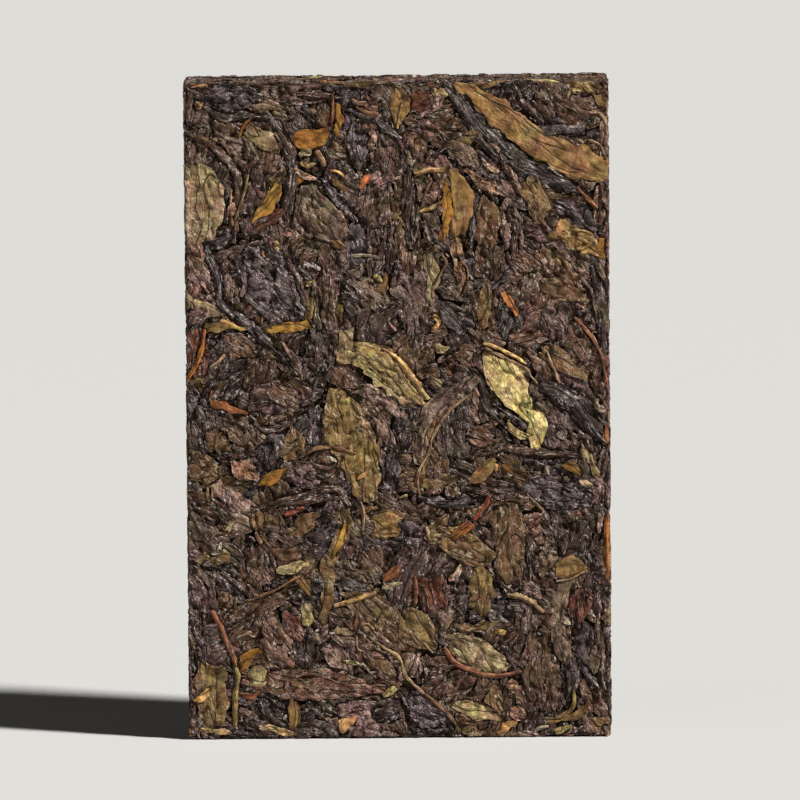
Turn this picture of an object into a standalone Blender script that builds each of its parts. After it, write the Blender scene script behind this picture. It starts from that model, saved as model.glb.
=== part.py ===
"""A pu erh tea brick: whole tea leaves, steamed and pressed in a mould into one rectangular block.

The brick stands on one of its short edges. X runs across the width, Y through the thickness and Z up
the height, and the origin is the middle of the foot. Run it with blender --background --python part.py
"""

import math
import random

import bmesh
import bpy
from mathutils import Vector, noise

# Driving dimensions of the mould, in metres.
WIDTH = 0.090
THICKNESS = 0.022
HEIGHT = 0.140
CORNER_RADIUS = 0.0009

# Spacing of the surface mesh, and the steps that round each corner.
FACET = 0.0030
CORNER_STEPS = 2

# The leaves that show on a face: they lie flush with the mould, and the gaps between them sink back.
LEAF_LENGTH = (0.012, 0.028)
LEAF_WIDTH = (0.0045, 0.0095)
LEAF_COVER = 1.0
GAP_DEPTH = 0.0009
LEAF_CROWN = 2.2

# How far the corners, where the leaf doesn't quite fill the mould, fall short of it.
CORNER_LOSS = 0.0004
CORNER_WANDER = 130.0

TEA_BROWN = (0.105, 0.070, 0.048, 1.0)
TEA_ROUGHNESS = 0.62

SEED = 14


def clear_scene():
    """Starts from an empty scene."""
    for obj in list(bpy.data.objects):
        bpy.data.objects.remove(obj)


def tea_material():
    """Dark pressed leaf, dry and slightly waxy."""
    material = bpy.data.materials.new("pressed_tea")
    material.use_nodes = True
    shader = material.node_tree.nodes["Principled BSDF"]
    shader.inputs["Base Color"].default_value = TEA_BROWN
    shader.inputs["Roughness"].default_value = TEA_ROUGHNESS
    shader.inputs["Metallic"].default_value = 0.0
    material.diffuse_color = TEA_BROWN
    return material


def edges_along(mesh, axis):
    """The edges of a box-shaped mesh that run along one axis."""
    return [
        edge
        for edge in mesh.edges
        if abs((edge.verts[1].co - edge.verts[0].co).normalized()[axis]) > 0.99
    ]


def moulded_block():
    """The mould's own shape: a box cut into facets, with its twelve corners rounded."""
    mesh = bmesh.new()
    bmesh.ops.create_cube(mesh, size=1.0)
    sides = Vector((WIDTH, THICKNESS, HEIGHT))
    bmesh.ops.scale(mesh, vec=sides, verts=mesh.verts)
    bmesh.ops.translate(mesh, vec=(0.0, 0.0, HEIGHT / 2), verts=mesh.verts)
    for axis in range(3):
        bmesh.ops.subdivide_edges(
            mesh,
            edges=edges_along(mesh, axis),
            cuts=round(sides[axis] / FACET) - 1,
            use_grid_fill=True,
        )
    corners = [edge for edge in mesh.edges if edge.calc_face_angle() > math.radians(45)]
    bmesh.ops.bevel(
        mesh,
        geom=corners,
        offset=CORNER_RADIUS,
        offset_type="OFFSET",
        affect="EDGES",
        segments=CORNER_STEPS,
        profile=0.5,
        material=-1,
    )
    return mesh


def scatter_leaves(across, up, draw):
    """Pressed leaves over a face of this size: each is its centre, its direction and its half sizes."""
    leaves = []
    covered = 0.0
    while covered < LEAF_COVER * across * up:
        length = draw.uniform(*LEAF_LENGTH)
        width = draw.uniform(*LEAF_WIDTH)
        centre = (draw.uniform(-across / 2, across / 2), draw.uniform(-up / 2, up / 2))
        leaves.append((centre, draw.uniform(0.0, math.pi), length / 2, width / 2))
        covered += length * width * math.pi / 4
    return leaves


def leaf_height(leaves, u, v):
    """How far a point of a face is lifted towards the mould by its leaves, from 0 to 1."""
    highest = 0.0
    for (centre_u, centre_v), turn, half_length, half_width in leaves:
        along = (u - centre_u) * math.cos(turn) + (v - centre_v) * math.sin(turn)
        aside = (v - centre_v) * math.cos(turn) - (u - centre_u) * math.sin(turn)
        inside = 1.0 - (along / half_length) ** 2 - (aside / half_width) ** 2
        highest = max(highest, LEAF_CROWN * inside)
    return min(highest, 1.0)


def press_leaves(mesh):
    """Sinks the gaps between the leaves into every face but the foot, and wears the corners down."""
    mesh.normal_update()
    draw = random.Random(SEED)
    sides = (WIDTH, THICKNESS, HEIGHT)
    middle = Vector((0.0, 0.0, HEIGHT / 2))
    faces = {}
    for axis in range(3):
        across, up = (side for index, side in enumerate(sides) if index != axis)
        for way in (-1, 1):
            faces[axis, way] = scatter_leaves(across, up, draw)
    moves = {}
    for vert in mesh.verts:
        normal = vert.normal.copy()
        axis = max(range(3), key=lambda index: abs(normal[index]))
        flat = abs(normal[axis]) > 0.999
        if flat and axis == 2 and normal.z < 0:
            continue
        if flat:
            u, v = (x for index, x in enumerate(vert.co - middle) if index != axis)
            leaves = faces[axis, 1 if normal[axis] > 0 else -1]
            depth = GAP_DEPTH * (1.0 - leaf_height(leaves, u, v))
        else:
            depth = CORNER_LOSS * max(0.0, noise.noise(vert.co * CORNER_WANDER))
        moves[vert] = normal * -depth
    for vert, move in moves.items():
        vert.co += move
        vert.co.z = max(vert.co.z, 0.0)


def build_brick():
    """The pressed brick, one solid."""
    block = moulded_block()
    press_leaves(block)
    data = bpy.data.meshes.new("tea_brick")
    block.to_mesh(data)
    block.free()
    data.materials.append(tea_material())
    brick = bpy.data.objects.new("tea_brick", data)
    bpy.context.scene.collection.objects.link(brick)
    return brick


clear_scene()
build_brick()
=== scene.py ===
"""The looks of a pu erh tea brick: whole leaves, steamed soft and pressed in a mould into one block."""

import math

import bmesh
import bpy
import numpy as np
from mathutils import Matrix, Vector


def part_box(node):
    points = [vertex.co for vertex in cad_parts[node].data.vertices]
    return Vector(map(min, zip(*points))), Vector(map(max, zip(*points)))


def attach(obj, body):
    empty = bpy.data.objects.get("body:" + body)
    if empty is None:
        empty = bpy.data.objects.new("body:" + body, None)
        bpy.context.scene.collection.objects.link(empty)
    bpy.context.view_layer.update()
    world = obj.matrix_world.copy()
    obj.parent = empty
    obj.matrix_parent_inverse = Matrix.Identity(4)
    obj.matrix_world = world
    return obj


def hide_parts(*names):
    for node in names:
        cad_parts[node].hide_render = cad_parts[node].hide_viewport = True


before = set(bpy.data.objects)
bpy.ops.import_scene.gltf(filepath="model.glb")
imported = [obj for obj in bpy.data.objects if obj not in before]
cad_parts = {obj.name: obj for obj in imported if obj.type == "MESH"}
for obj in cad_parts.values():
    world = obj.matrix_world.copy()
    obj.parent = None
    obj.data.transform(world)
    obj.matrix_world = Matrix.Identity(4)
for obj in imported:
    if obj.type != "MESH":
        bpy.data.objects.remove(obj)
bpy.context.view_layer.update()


# The pressed core: fine broken leaf and dust, packed hard in the middle of the brick. It shows only
# in the gaps between the whole leaves, a little under a millimetre below the skin of the mould, so
# it is the mould's block made smaller all round and left crumbly. Lengths are in millimetres.
MM = 0.001
LOW, HIGH = (np.array(corner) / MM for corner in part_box("tea_brick"))
MIDDLE = (LOW + HIGH) / 2
HALF = (HIGH - LOW) / 2
CORE_DEPTH = 0.9
CORE_CRUMB = 1.2
CORE_RELIEF = 0.22
CORE_ROUND = 1.0
SHEET_SIZE = 512
SHEET_CELL = 0.2
TALLEST_WAVE = 2.2
SHARP_ANGLE = math.radians(58)


def tone(red, green, blue):
    """A colour given as on a colour chart, from 0 to 255, as the light it sends back."""
    chart = np.array([red, green, blue]) / 255
    return np.where(chart <= 0.04045, chart / 12.92, ((chart + 0.055) / 1.055) ** 2.4)


def band_noise(draw, finest, coarsest):
    """A sheet of smooth noise that repeats, with waves from finest to coarsest millimetres long."""
    waves = np.fft.rfft2(draw.standard_normal((SHEET_SIZE, SHEET_SIZE)))
    up = np.fft.fftfreq(SHEET_SIZE)[:, None]
    across = np.fft.rfftfreq(SHEET_SIZE)[None, :]
    length = SHEET_CELL / np.maximum(np.hypot(up, across), 1 / SHEET_SIZE)
    waves[(length < finest) | (length > coarsest)] = 0
    noise = np.fft.irfft2(waves, s=(SHEET_SIZE, SHEET_SIZE))
    return np.clip(noise / noise.std(), -TALLEST_WAVE, TALLEST_WAVE)


def look_up(sheet, x, y):
    """The sheet's value at each x and y, in millimetres, blended between its cells."""
    x = x / SHEET_CELL
    y = y / SHEET_CELL
    left = np.floor(x).astype(int)
    under = np.floor(y).astype(int)
    x = x - left
    y = y - under
    left %= SHEET_SIZE
    under %= SHEET_SIZE
    right = (left + 1) % SHEET_SIZE
    over = (under + 1) % SHEET_SIZE
    low = sheet[under, left] * (1 - x) + sheet[under, right] * x
    high = sheet[over, left] * (1 - x) + sheet[over, right] * x
    return low * (1 - y) + high * y


sheet_draw = np.random.default_rng(5)
SWELL = band_noise(sheet_draw, 5.0, 18.0)
LUMPS = band_noise(sheet_draw, 1.8, 5.0)
GRIT = band_noise(sheet_draw, 0.9, 1.8)


def crumbly_block():
    """The core's mesh: the mould's block, set back by CORE_DEPTH and pitted like packed crumbs."""
    core = bmesh.new()
    bmesh.ops.create_cube(core, size=1.0)
    size = 2 * (HALF - CORE_DEPTH)
    bmesh.ops.scale(core, vec=Vector(size), verts=core.verts)
    for axis in range(3):
        crossing = [
            edge for edge in core.edges
            if abs((edge.verts[0].co - edge.verts[1].co)[axis]) > size[axis] / 2
        ]
        cuts = round(size[axis] / CORE_CRUMB) - 1
        bmesh.ops.subdivide_edges(core, edges=crossing, cuts=cuts, use_grid_fill=True)
    limit = HALF - CORE_DEPTH - CORE_ROUND
    for vert in core.verts:
        spot = np.array(vert.co)
        inner = np.clip(spot, -limit, limit)
        away = spot - inner
        away = away / np.linalg.norm(away)
        faces_sideways = abs(away[0]) > 0.7
        x, y = (spot[1], spot[2]) if faces_sideways else (spot[0], spot[1] + spot[2])
        crumbs = look_up(GRIT, x, y) + look_up(LUMPS, x + 30, y)
        vert.co = Vector(inner + away * (CORE_ROUND + CORE_RELIEF * crumbs))
    bmesh.ops.translate(core, vec=Vector(MIDDLE), verts=core.verts)
    bmesh.ops.scale(core, vec=Vector((MM, MM, MM)), verts=core.verts)
    return core


def into_piece(name, shape, finish):
    """One object of a finished mesh, riding on the brick, with its finish."""
    mesh = bpy.data.meshes.new(name)
    shape.to_mesh(mesh)
    shape.free()
    mesh.shade_smooth()
    mesh.set_sharp_from_angle(angle=SHARP_ANGLE)
    mesh.materials.append(finish)
    piece = bpy.data.objects.new(name, mesh)
    bpy.context.scene.collection.objects.link(piece)
    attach(piece, "root")
    return piece


def node_in(tree, kind, **values):
    """A shader node of one kind, with its settings and the values of its sockets."""
    made = tree.nodes.new(kind)
    for key, value in values.items():
        if hasattr(made, key):
            setattr(made, key, value)
        else:
            made.inputs[key.replace("_", " ").title()].default_value = value
    return made


def ramp_in(tree, given, low_place, low_colour, high_place, high_colour):
    """The colour that a value gives on a ramp between two colours."""
    made = tree.nodes.new("ShaderNodeValToRGB")
    low_end, high_end = made.color_ramp.elements
    low_end.position = low_place
    low_end.color = (*low_colour, 1)
    high_end.position = high_place
    high_end.color = (*high_colour, 1)
    tree.links.new(given, made.inputs["Fac"])
    return made.outputs["Color"]


def crumb_finish():
    """Packed tea dust, with paler bits, dull and rough; its nearly black brown is partly painted shade
    for the gaps where it shows.
    """
    finish = bpy.data.materials.new("pressed_tea_core")
    finish.use_nodes = True
    tree = finish.node_tree
    surface = tree.nodes["Principled BSDF"]
    place = tree.nodes.new("ShaderNodeTexCoord")
    bits = node_in(tree, "ShaderNodeTexVoronoi", scale=1400.0)
    grit = node_in(tree, "ShaderNodeTexNoise", scale=900.0, detail=4.0)
    # partly painted shade: the dark end is kept near black so the gaps between leaves read as shaded
    shade = ramp_in(tree, bits.outputs["Color"], 0.35, tone(14, 8, 4), 1.0, tone(66, 48, 34))
    bump = node_in(tree, "ShaderNodeBump", strength=0.8, distance=0.0003)
    tree.links.new(place.outputs["Object"], bits.inputs["Vector"])
    tree.links.new(place.outputs["Object"], grit.inputs["Vector"])
    tree.links.new(grit.outputs["Fac"], bump.inputs["Height"])
    tree.links.new(shade, surface.inputs["Base Color"])
    tree.links.new(bump.outputs["Normal"], surface.inputs["Normal"])
    surface.inputs["Roughness"].default_value = 0.85
    surface.inputs["Specular IOR Level"].default_value = 0.05
    return finish


core = into_piece("pressed_core", crumbly_block(), crumb_finish())
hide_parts("tea_brick")


# The stems: leaf stalks, torn veins and the stiff rims of folded leaves, thin rods of tan, yellow
# and red that were laid in the mould first and so lie flush with the brick's skin. Everything that
# is pressed in after them goes behind. Each is one closed plug: a shaped upper skin, with walls
# that run down into the core.
EDGE_ROUND = 0.7
SKIN = 0.02
ON_TOP = -0.07
ROOT_DEPTH = 1.9
EDGE_REACH = 0.22
BED_CELL = 0.3
BED_CELLS = math.ceil(2 * HALF.max() / BED_CELL)
SEED_SPAN = 90
CURVE_STEPS = 12
TIP_FADE = 1.8
# a rolled leaf's lift over what it crosses, how far a covered edge goes below what covers it, and
# how far a leaf has to stand above those under it to show
ROLL_LIFT = 0.12
TUCK = 0.15
PROUD = 0.02
MOSTLY_SEEN = 0.4
DARKEST = 0.25
PALEST = 1.6
LEAVES_APART = 1.7
FACES = {
    # which way the face looks, which way is across it, which way is up it
    "front": ((0, -1, 0), (1, 0, 0), (0, 0, 1)),
    "back": ((0, 1, 0), (-1, 0, 0), (0, 0, 1)),
    "left": ((-1, 0, 0), (0, -1, 0), (0, 0, 1)),
    "right": ((1, 0, 0), (0, 1, 0), (0, 0, 1)),
    "top": ((0, 0, 1), (1, 0, 0), (0, 1, 0)),
    "foot": ((0, 0, -1), (1, 0, 0), (0, -1, 0)),
}
bed = np.full((6, BED_CELLS, BED_CELLS), -CORE_DEPTH)
RIDGES = 0.6 - np.abs(band_noise(sheet_draw, 2.0, 6.0)) + 0.35 * band_noise(sheet_draw, 1.0, 2.0)
FURROWS = -np.maximum(1 - 3.0 * np.abs(band_noise(sheet_draw, 2.5, 9.0)), 0)
RAG = band_noise(sheet_draw, 3.0, 12.0) + 0.25 * band_noise(sheet_draw, 1.0, 3.0)


def round_edge(along, half):
    """Where a point lies that is along from a face's middle: how far across, how far in, how far
    turned, as the skin of the mould goes round its edge."""
    reach = np.abs(along)
    start = half - EDGE_ROUND
    turn = np.clip((reach - start) / EDGE_ROUND, 0, math.pi / 2)
    past = np.maximum(reach - start - EDGE_ROUND * math.pi / 2, 0)
    across = np.sign(along) * (np.minimum(reach, start) + EDGE_ROUND * np.sin(turn))
    return across, EDGE_ROUND * (1 - np.cos(turn)) + past, np.sign(along) * turn


def on_mould(face, across, up):
    """The points of the mould's skin over a face, from the brick's middle, and which way they look."""
    out, side, rise = (np.array(way, float) for way in FACES[face])
    x, x_in, x_turn = round_edge(across, abs(side) @ HALF)
    y, y_in, y_turn = round_edge(up, abs(rise) @ HALF)
    depth = abs(out) @ HALF - x_in - y_in
    spots = x[:, None] * side + y[:, None] * rise + depth[:, None] * out
    looks = (
        np.sin(x_turn)[:, None] * side + np.sin(y_turn)[:, None] * rise
        + (np.cos(x_turn) * np.cos(y_turn))[:, None] * out
    )
    return spots, looks / np.maximum(np.linalg.norm(looks, axis=1), 1e-6)[:, None]


def cells_under(spots, looks):
    """The cells of the bed that points of the mould's skin lie over."""
    row = np.arange(len(spots))
    axis = np.abs(looks).argmax(axis=1)
    face = axis * 2 + (looks[row, axis] > 0)
    first = (axis + 1) % 3
    second = (axis + 2) % 3
    i = (spots[row, first] + HALF[first]) / BED_CELL
    j = (spots[row, second] + HALF[second]) / BED_CELL
    return face, np.clip(i.astype(int), 0, BED_CELLS - 1), np.clip(j.astype(int), 0, BED_CELLS - 1)


def soften(sheet, times):
    """A grid of heights, each evened out with its neighbours so many times."""
    for _ in range(times):
        wide = np.pad(sheet, 1, mode="edge")
        sheet = (wide[:-2, 1:-1] + wide[2:, 1:-1] + wide[1:-1, :-2] + wide[1:-1, 2:] + 4 * sheet) / 8
    return sheet


def smooth_path(points, share):
    """The places at each share, from 0 to 1, of a smooth curve through the points, the way it goes
    there, and its length."""
    stops = np.array(points, float)
    stops = np.vstack([2 * stops[0] - stops[1], stops, 2 * stops[-1] - stops[-2]])
    step = np.linspace(0, len(points) - 1, CURVE_STEPS * (len(points) - 1) + 1)
    start = np.minimum(step.astype(int), len(points) - 2)
    t = (step - start)[:, None]
    a, b, c, d = (stops[start + i] for i in range(4))
    curve = 0.5 * (
        2 * b + (c - a) * t + (2 * a - 5 * b + 4 * c - d) * t**2 + (3 * b - a - 3 * c + d) * t**3
    )
    run = np.concatenate([[0], np.cumsum(np.linalg.norm(np.diff(curve, axis=0), axis=1))])

    def at(part):
        return np.stack([np.interp(part * run[-1], run, curve[:, i]) for i in range(2)], axis=1)

    way = at(np.clip(share + 0.03, 0, 1)) - at(np.clip(share - 0.03, 0, 1))
    return at(share), way / np.maximum(np.linalg.norm(way, axis=1), 1e-9)[:, None], run[-1]


def outline(form, share):
    """How wide a leaf is along its length, as a share of its greatest width."""
    bulge = np.clip(4 * share * (1 - share), 0, 1)
    if form == "blade":
        return np.maximum(np.sin(math.pi * share**0.85) ** 0.8, 0.1)
    if form in ("strip", "roll"):
        return np.maximum(bulge**0.35, 0.25)
    return np.maximum(bulge**0.12, 0.5)


def new_leaves():
    """An empty mesh for one kind of leaf, with room for what its finish reads."""
    leaves = bmesh.new()
    leaves.verts.layers.float_color.new("tint")
    leaves.verts.layers.float_vector.new("grain")
    leaves.verts.layers.float_vector.new("form")
    return leaves


def raise_walls(leaf, roots):
    """Closes a leaf's skin into a plug, with walls from its outline down to the roots."""
    while pinched := [
        vert for vert in leaf.verts if sum(edge.is_boundary for edge in vert.link_edges) > 2
    ]:
        bmesh.ops.delete(leaf, geom=pinched, context="VERTS")
    depths = {tuple(vert.co): roots[vert.index] for vert in leaf.verts if vert.is_boundary}
    rim = [edge for edge in leaf.edges if edge.is_boundary]
    walls = bmesh.ops.extrude_edge_only(leaf, edges=rim)
    for item in walls["geom"]:
        if isinstance(item, bmesh.types.BMVert):
            item.co = depths[tuple(item.co)]
    ring = [item for item in walls["geom"] if isinstance(item, bmesh.types.BMEdge)]
    bmesh.ops.edgeloop_fill(leaf, edges=ring)
    bmesh.ops.recalc_face_normals(leaf, faces=leaf.faces)
    bmesh.ops.scale(leaf, vec=Vector((MM, MM, MM)), verts=leaf.verts)


def between(sheet):
    """A grid of values with one more put midway between each two, both ways."""
    for axis in (0, 1):
        low = np.delete(sheet, -1, axis)
        high = np.delete(sheet, 0, axis)
        wide = np.repeat(sheet, 2, axis)
        wide = np.delete(wide, -1, axis)
        wide[(slice(None),) * axis + (slice(1, None, 2),)] = (low + high) / 2
        sheet = wide
    return sheet


def add_plug(leaves, rows, columns, seen, roots, skin, colours, grain, form):
    """Adds one leaf to those of its kind: its skin where it is seen, with walls down to its roots."""
    leaf = bmesh.new()
    bmesh.ops.create_grid(leaf, x_segments=columns, y_segments=rows, size=1.0)
    tint_layer = leaf.verts.layers.float_color.new("tint")
    grain_layer = leaf.verts.layers.float_vector.new("grain")
    form_layer = leaf.verts.layers.float_vector.new("form")
    for vert, *values in zip(leaf.verts, skin, colours, grain, form):
        vert.co, vert[tint_layer], vert[grain_layer], vert[form_layer] = values
    unseen = [face for face in leaf.faces if not any(seen[vert.index] for vert in face.verts)]
    bmesh.ops.delete(leaf, geom=unseen, context="FACES")
    if leaf.faces:
        raise_walls(leaf, roots)
        carrier = bpy.data.meshes.new("leaf")
        leaf.to_mesh(carrier)
        leaves.from_mesh(carrier)
        bpy.data.meshes.remove(carrier)
    leaf.free()


def lay(leaves, draw, face, path, width, tint, form="blade", level=-0.12, tilt=0.0, dip=0.0,
        swell=0.14, crown=0.07, crease=0.2, furrow=0.3, stretch=4.0, rag=0.2, sink=0.2,
        over=False, fade=0.35, mottle=0.15, cell=0.38, shown=0.0):
    """Presses one leaf into the brick, along a path of places across and up its face, the height
    counted from the foot. It goes behind the leaves that are there, or over them, though never over
    those at the very skin. One that would hardly show isn't laid."""
    seed = draw.uniform(0, SEED_SPAN, 6)
    stops = np.array(path, float)
    if FACES[face][2][2]:
        stops[:, 1] -= MIDDLE[2]
    length = np.linalg.norm(np.diff(stops, axis=0), axis=1).sum()
    broadest = max(left + right for left, right in width) if isinstance(width, list) else width
    rows = max(round(length / cell), 4)
    columns = max(round(broadest / cell), 5)
    share, side = np.meshgrid(
        np.linspace(0, 1, rows + 1), np.linspace(-1, 1, columns + 1), indexing="ij")
    grid = share.shape
    share = share.ravel()
    side = side.ravel()
    middle, way, length = smooth_path(stops, share)
    run = share * length
    ragged = look_up(RAG, run + seed[0], np.sign(side) * 7 + seed[1])
    if isinstance(width, list):
        wide = [np.interp(share * (len(width) - 1), range(len(width)), one) for one in zip(*width)]
        half = np.where(side < 0, wide[0], wide[1]) + rag * ragged
    else:
        half = np.maximum(width / 2 * outline(form, share) + rag * ragged, 0.15 * width)
    out = side * half
    torn = 2 * rag * look_up(RAG, out + seed[2], seed[3] + (share > 0.5) * 9)
    across = np.stack([way[:, 1], -way[:, 0]], axis=1)
    places = middle + across * out[:, None] + way * (torn * (2 * share - 1) ** 3)[:, None]
    spots, looks = on_mould(face, places[:, 0], places[:, 1])
    rest = bed[cells_under(spots, looks)]

    to_edge = np.minimum((1 - np.abs(side)) * half, np.minimum(share, 1 - share) * length)
    edge = np.exp(-to_edge / EDGE_REACH)
    plane = level + tilt * side + dip * (2 * share - 1)
    plane += swell * look_up(SWELL, out + seed[4], run + seed[5])
    if over:
        below = rest.reshape(grid)
        plane = np.maximum(plane, soften(np.maximum(below, soften(below, 4)), 6).ravel() + ROLL_LIFT)
    drift = 0.6 * look_up(SWELL, out * 2 + seed[1], run * 2 + seed[2])
    wrinkle = crease * look_up(RIDGES, out + drift + seed[3], run / stretch + seed[2])
    wrinkle += furrow * look_up(FURROWS, out + drift + seed[2], run / (1.5 * stretch) + seed[4])
    bend = np.sqrt(np.maximum(1 - side**2, 0))
    if form == "roll":
        turns = np.arcsin(np.clip(side, -1, 1)) / math.pi * 3.2 + run / broadest * 0.3 + seed[3]
        groove = np.abs(np.sin(math.pi * turns)) ** 0.6
        top = plane + wrinkle - min(0.3 * broadest, 0.8) * (1 - bend) - 0.2 * (1 - groove)
    elif form == "rod":
        top = plane + 0.3 * wrinkle - 0.3 * broadest * (1 - bend)
    else:
        top = plane + wrinkle - crown * edge
    taken = rest > (ON_TOP if over else PROUD - CORE_DEPTH)
    top -= sink * soften(taken.reshape(grid).astype(float), 1).ravel()
    top = np.where(taken, np.minimum(top, rest - TUCK), np.minimum(top, -SKIN))
    seen = ~taken & (top > rest - PROUD)
    if seen.mean() < shown:
        return
    cover = np.concatenate([spots, looks, top[:, None], seen[:, None]], axis=1).reshape(*grid, 8)
    cover = between(cover).reshape(-1, 8)
    cover = cover[cover[:, 7] > MOSTLY_SEEN]
    np.maximum.at(bed, cells_under(cover[:, :3], cover[:, 3:6]), cover[:, 6])

    shade = 1 + mottle * look_up(LUMPS, out + seed[5], run + seed[0])
    shade += mottle * look_up(SWELL, out * 2 + seed[1], run + seed[3])
    shade -= fade * np.exp(-np.minimum(share, 1 - share) * length / TIP_FADE)
    colours = np.ones((len(side), 4))
    colours[:, :3] = tint * np.clip(shade, DARKEST, PALEST)[:, None]
    skin = MIDDLE + spots + looks * top[:, None]
    grain = np.stack([out, run, np.full_like(run, seed[0])], axis=1)
    relief = np.stack([wrinkle, top, edge], axis=1)
    roots = MIDDLE + spots - looks * ROOT_DEPTH
    add_plug(leaves, rows, columns, seen, roots, skin, colours, grain, relief)


def bare_place(draw, tries, reach):
    """A place on the mould's skin: the barest of so many taken at random."""
    barest = None
    areas = HALF[[1, 0, 0]] * HALF[[2, 2, 1]]
    around = reach * np.array([[0, 0], [1, 0], [-1, 0], [0, 1], [0, -1]])
    for _ in range(tries):
        spot = draw.uniform(-HALF, HALF)
        axis = draw.choice(3, p=areas / areas.sum())
        ahead = 1 if draw.random() < 0.5 else -1
        name = next(name for name, ways in FACES.items() if ways[0][axis] == ahead)
        side, rise = (np.array(way, float) for way in FACES[name][1:])
        patch = around + (spot @ side, spot @ rise)
        height = bed[cells_under(*on_mould(name, patch[:, 0], patch[:, 1]))].mean()
        if barest is None or height < barest[0]:
            barest = (height, name, spot @ side, spot @ rise + (MIDDLE[2] if rise[2] else 0))
    return barest[1:]


def scatter(leaves, draw, count, lengths, widths, tints, tries=8, front=1.0, highest=-0.05,
            lowest=-0.5, paleness=(0.75, 1.3), forms=("blade", "strip"), shown=0.25, reach=2.0,
            **shape):
    """Lays leaves of one kind over the whole brick, most of them where it is still bare, with only
    a share of those that fall on the front."""
    for _ in range(count):
        face, across, up = bare_place(draw, tries, reach)
        if face == "front" and draw.random() > front:
            continue
        length = draw.uniform(*lengths)
        width = min(draw.uniform(*widths), length * 0.6)
        turn = draw.uniform(0, math.pi)
        if face in ("left", "right"):
            turn = math.pi / 2 + draw.normal(0, 0.25)
        if face in ("top", "foot"):
            turn = draw.normal(0, 0.25)
        if face not in ("front", "back"):
            width = max(width * 0.5, 0.8)
        bend = draw.uniform(-0.6, 0.6)
        steps = np.array([
            [math.cos(heading), math.sin(heading)] for heading in (turn - bend, turn, turn + bend)
        ]) * length / 3
        start = np.array([across, up]) - steps.sum(axis=0) / 2
        path = start + np.vstack([[0, 0], np.cumsum(steps, axis=0)])
        tint = tints[draw.integers(len(tints))] * draw.uniform(*paleness)
        lay(
            leaves, draw, face, path, width, tint, form=forms[draw.integers(len(forms))],
            level=draw.uniform(lowest, highest), tilt=draw.uniform(-0.1, 0.1),
            dip=draw.uniform(-0.15, 0.15), cell=0.42 if face == "front" else 0.52, shown=shown,
            **shape)


def feed(tree, socket, given):
    """Gives a socket a value, or joins it to the socket that its value comes from."""
    if isinstance(given, bpy.types.NodeSocket):
        tree.links.new(given, socket)
    else:
        socket.default_value = given


def worked_in(tree, operation, *given):
    """What a sum, a product or the like makes of its values."""
    made = node_in(tree, "ShaderNodeMath", operation=operation)
    for socket, value in zip(made.inputs, given):
        feed(tree, socket, value)
    return made.outputs["Value"]


def ranged_in(tree, given, **ends):
    """A value moved from one range to another, and held between its ends."""
    made = node_in(tree, "ShaderNodeMapRange", **ends)
    tree.links.new(given, made.inputs["Value"])
    return made.outputs["Result"]


def clouds_in(tree, place, **noise_form):
    """Soft noise over a leaf, as a value and as a colour."""
    made = node_in(tree, "ShaderNodeTexNoise", **noise_form)
    tree.links.new(place, made.inputs["Vector"])
    return made.outputs["Fac"], made.outputs["Color"]


def mixed_in(tree, blend, share, first, second):
    """Two colours mixed, each given as a value or as the socket it comes from."""
    made = node_in(tree, "ShaderNodeMix", data_type="RGBA", blend_type=blend)
    feed(tree, made.inputs["Factor"], share)
    feed(tree, made.inputs["A"], first)
    feed(tree, made.inputs["B"], second)
    return made.outputs["Result"]


def lines_in(tree, place, across, along, *widths, **noise_form):
    """A net of lines over a leaf, once for each width: 1 along the middle of each line and 0 beyond
    its width."""
    stretched = tree.nodes.new("ShaderNodeMapping")
    stretched.inputs["Scale"].default_value = (1 / across, 1 / along, LEAVES_APART)
    tree.links.new(place, stretched.inputs["Vector"])
    noise, _ = clouds_in(tree, stretched.outputs["Vector"], scale=1.0, **noise_form)
    off_line = worked_in(tree, "ABSOLUTE", worked_in(tree, "SUBTRACT", noise, 0.5))
    return [ranged_in(tree, off_line, from_max=width, to_min=1.0, to_max=0.0) for width in widths]


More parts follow.
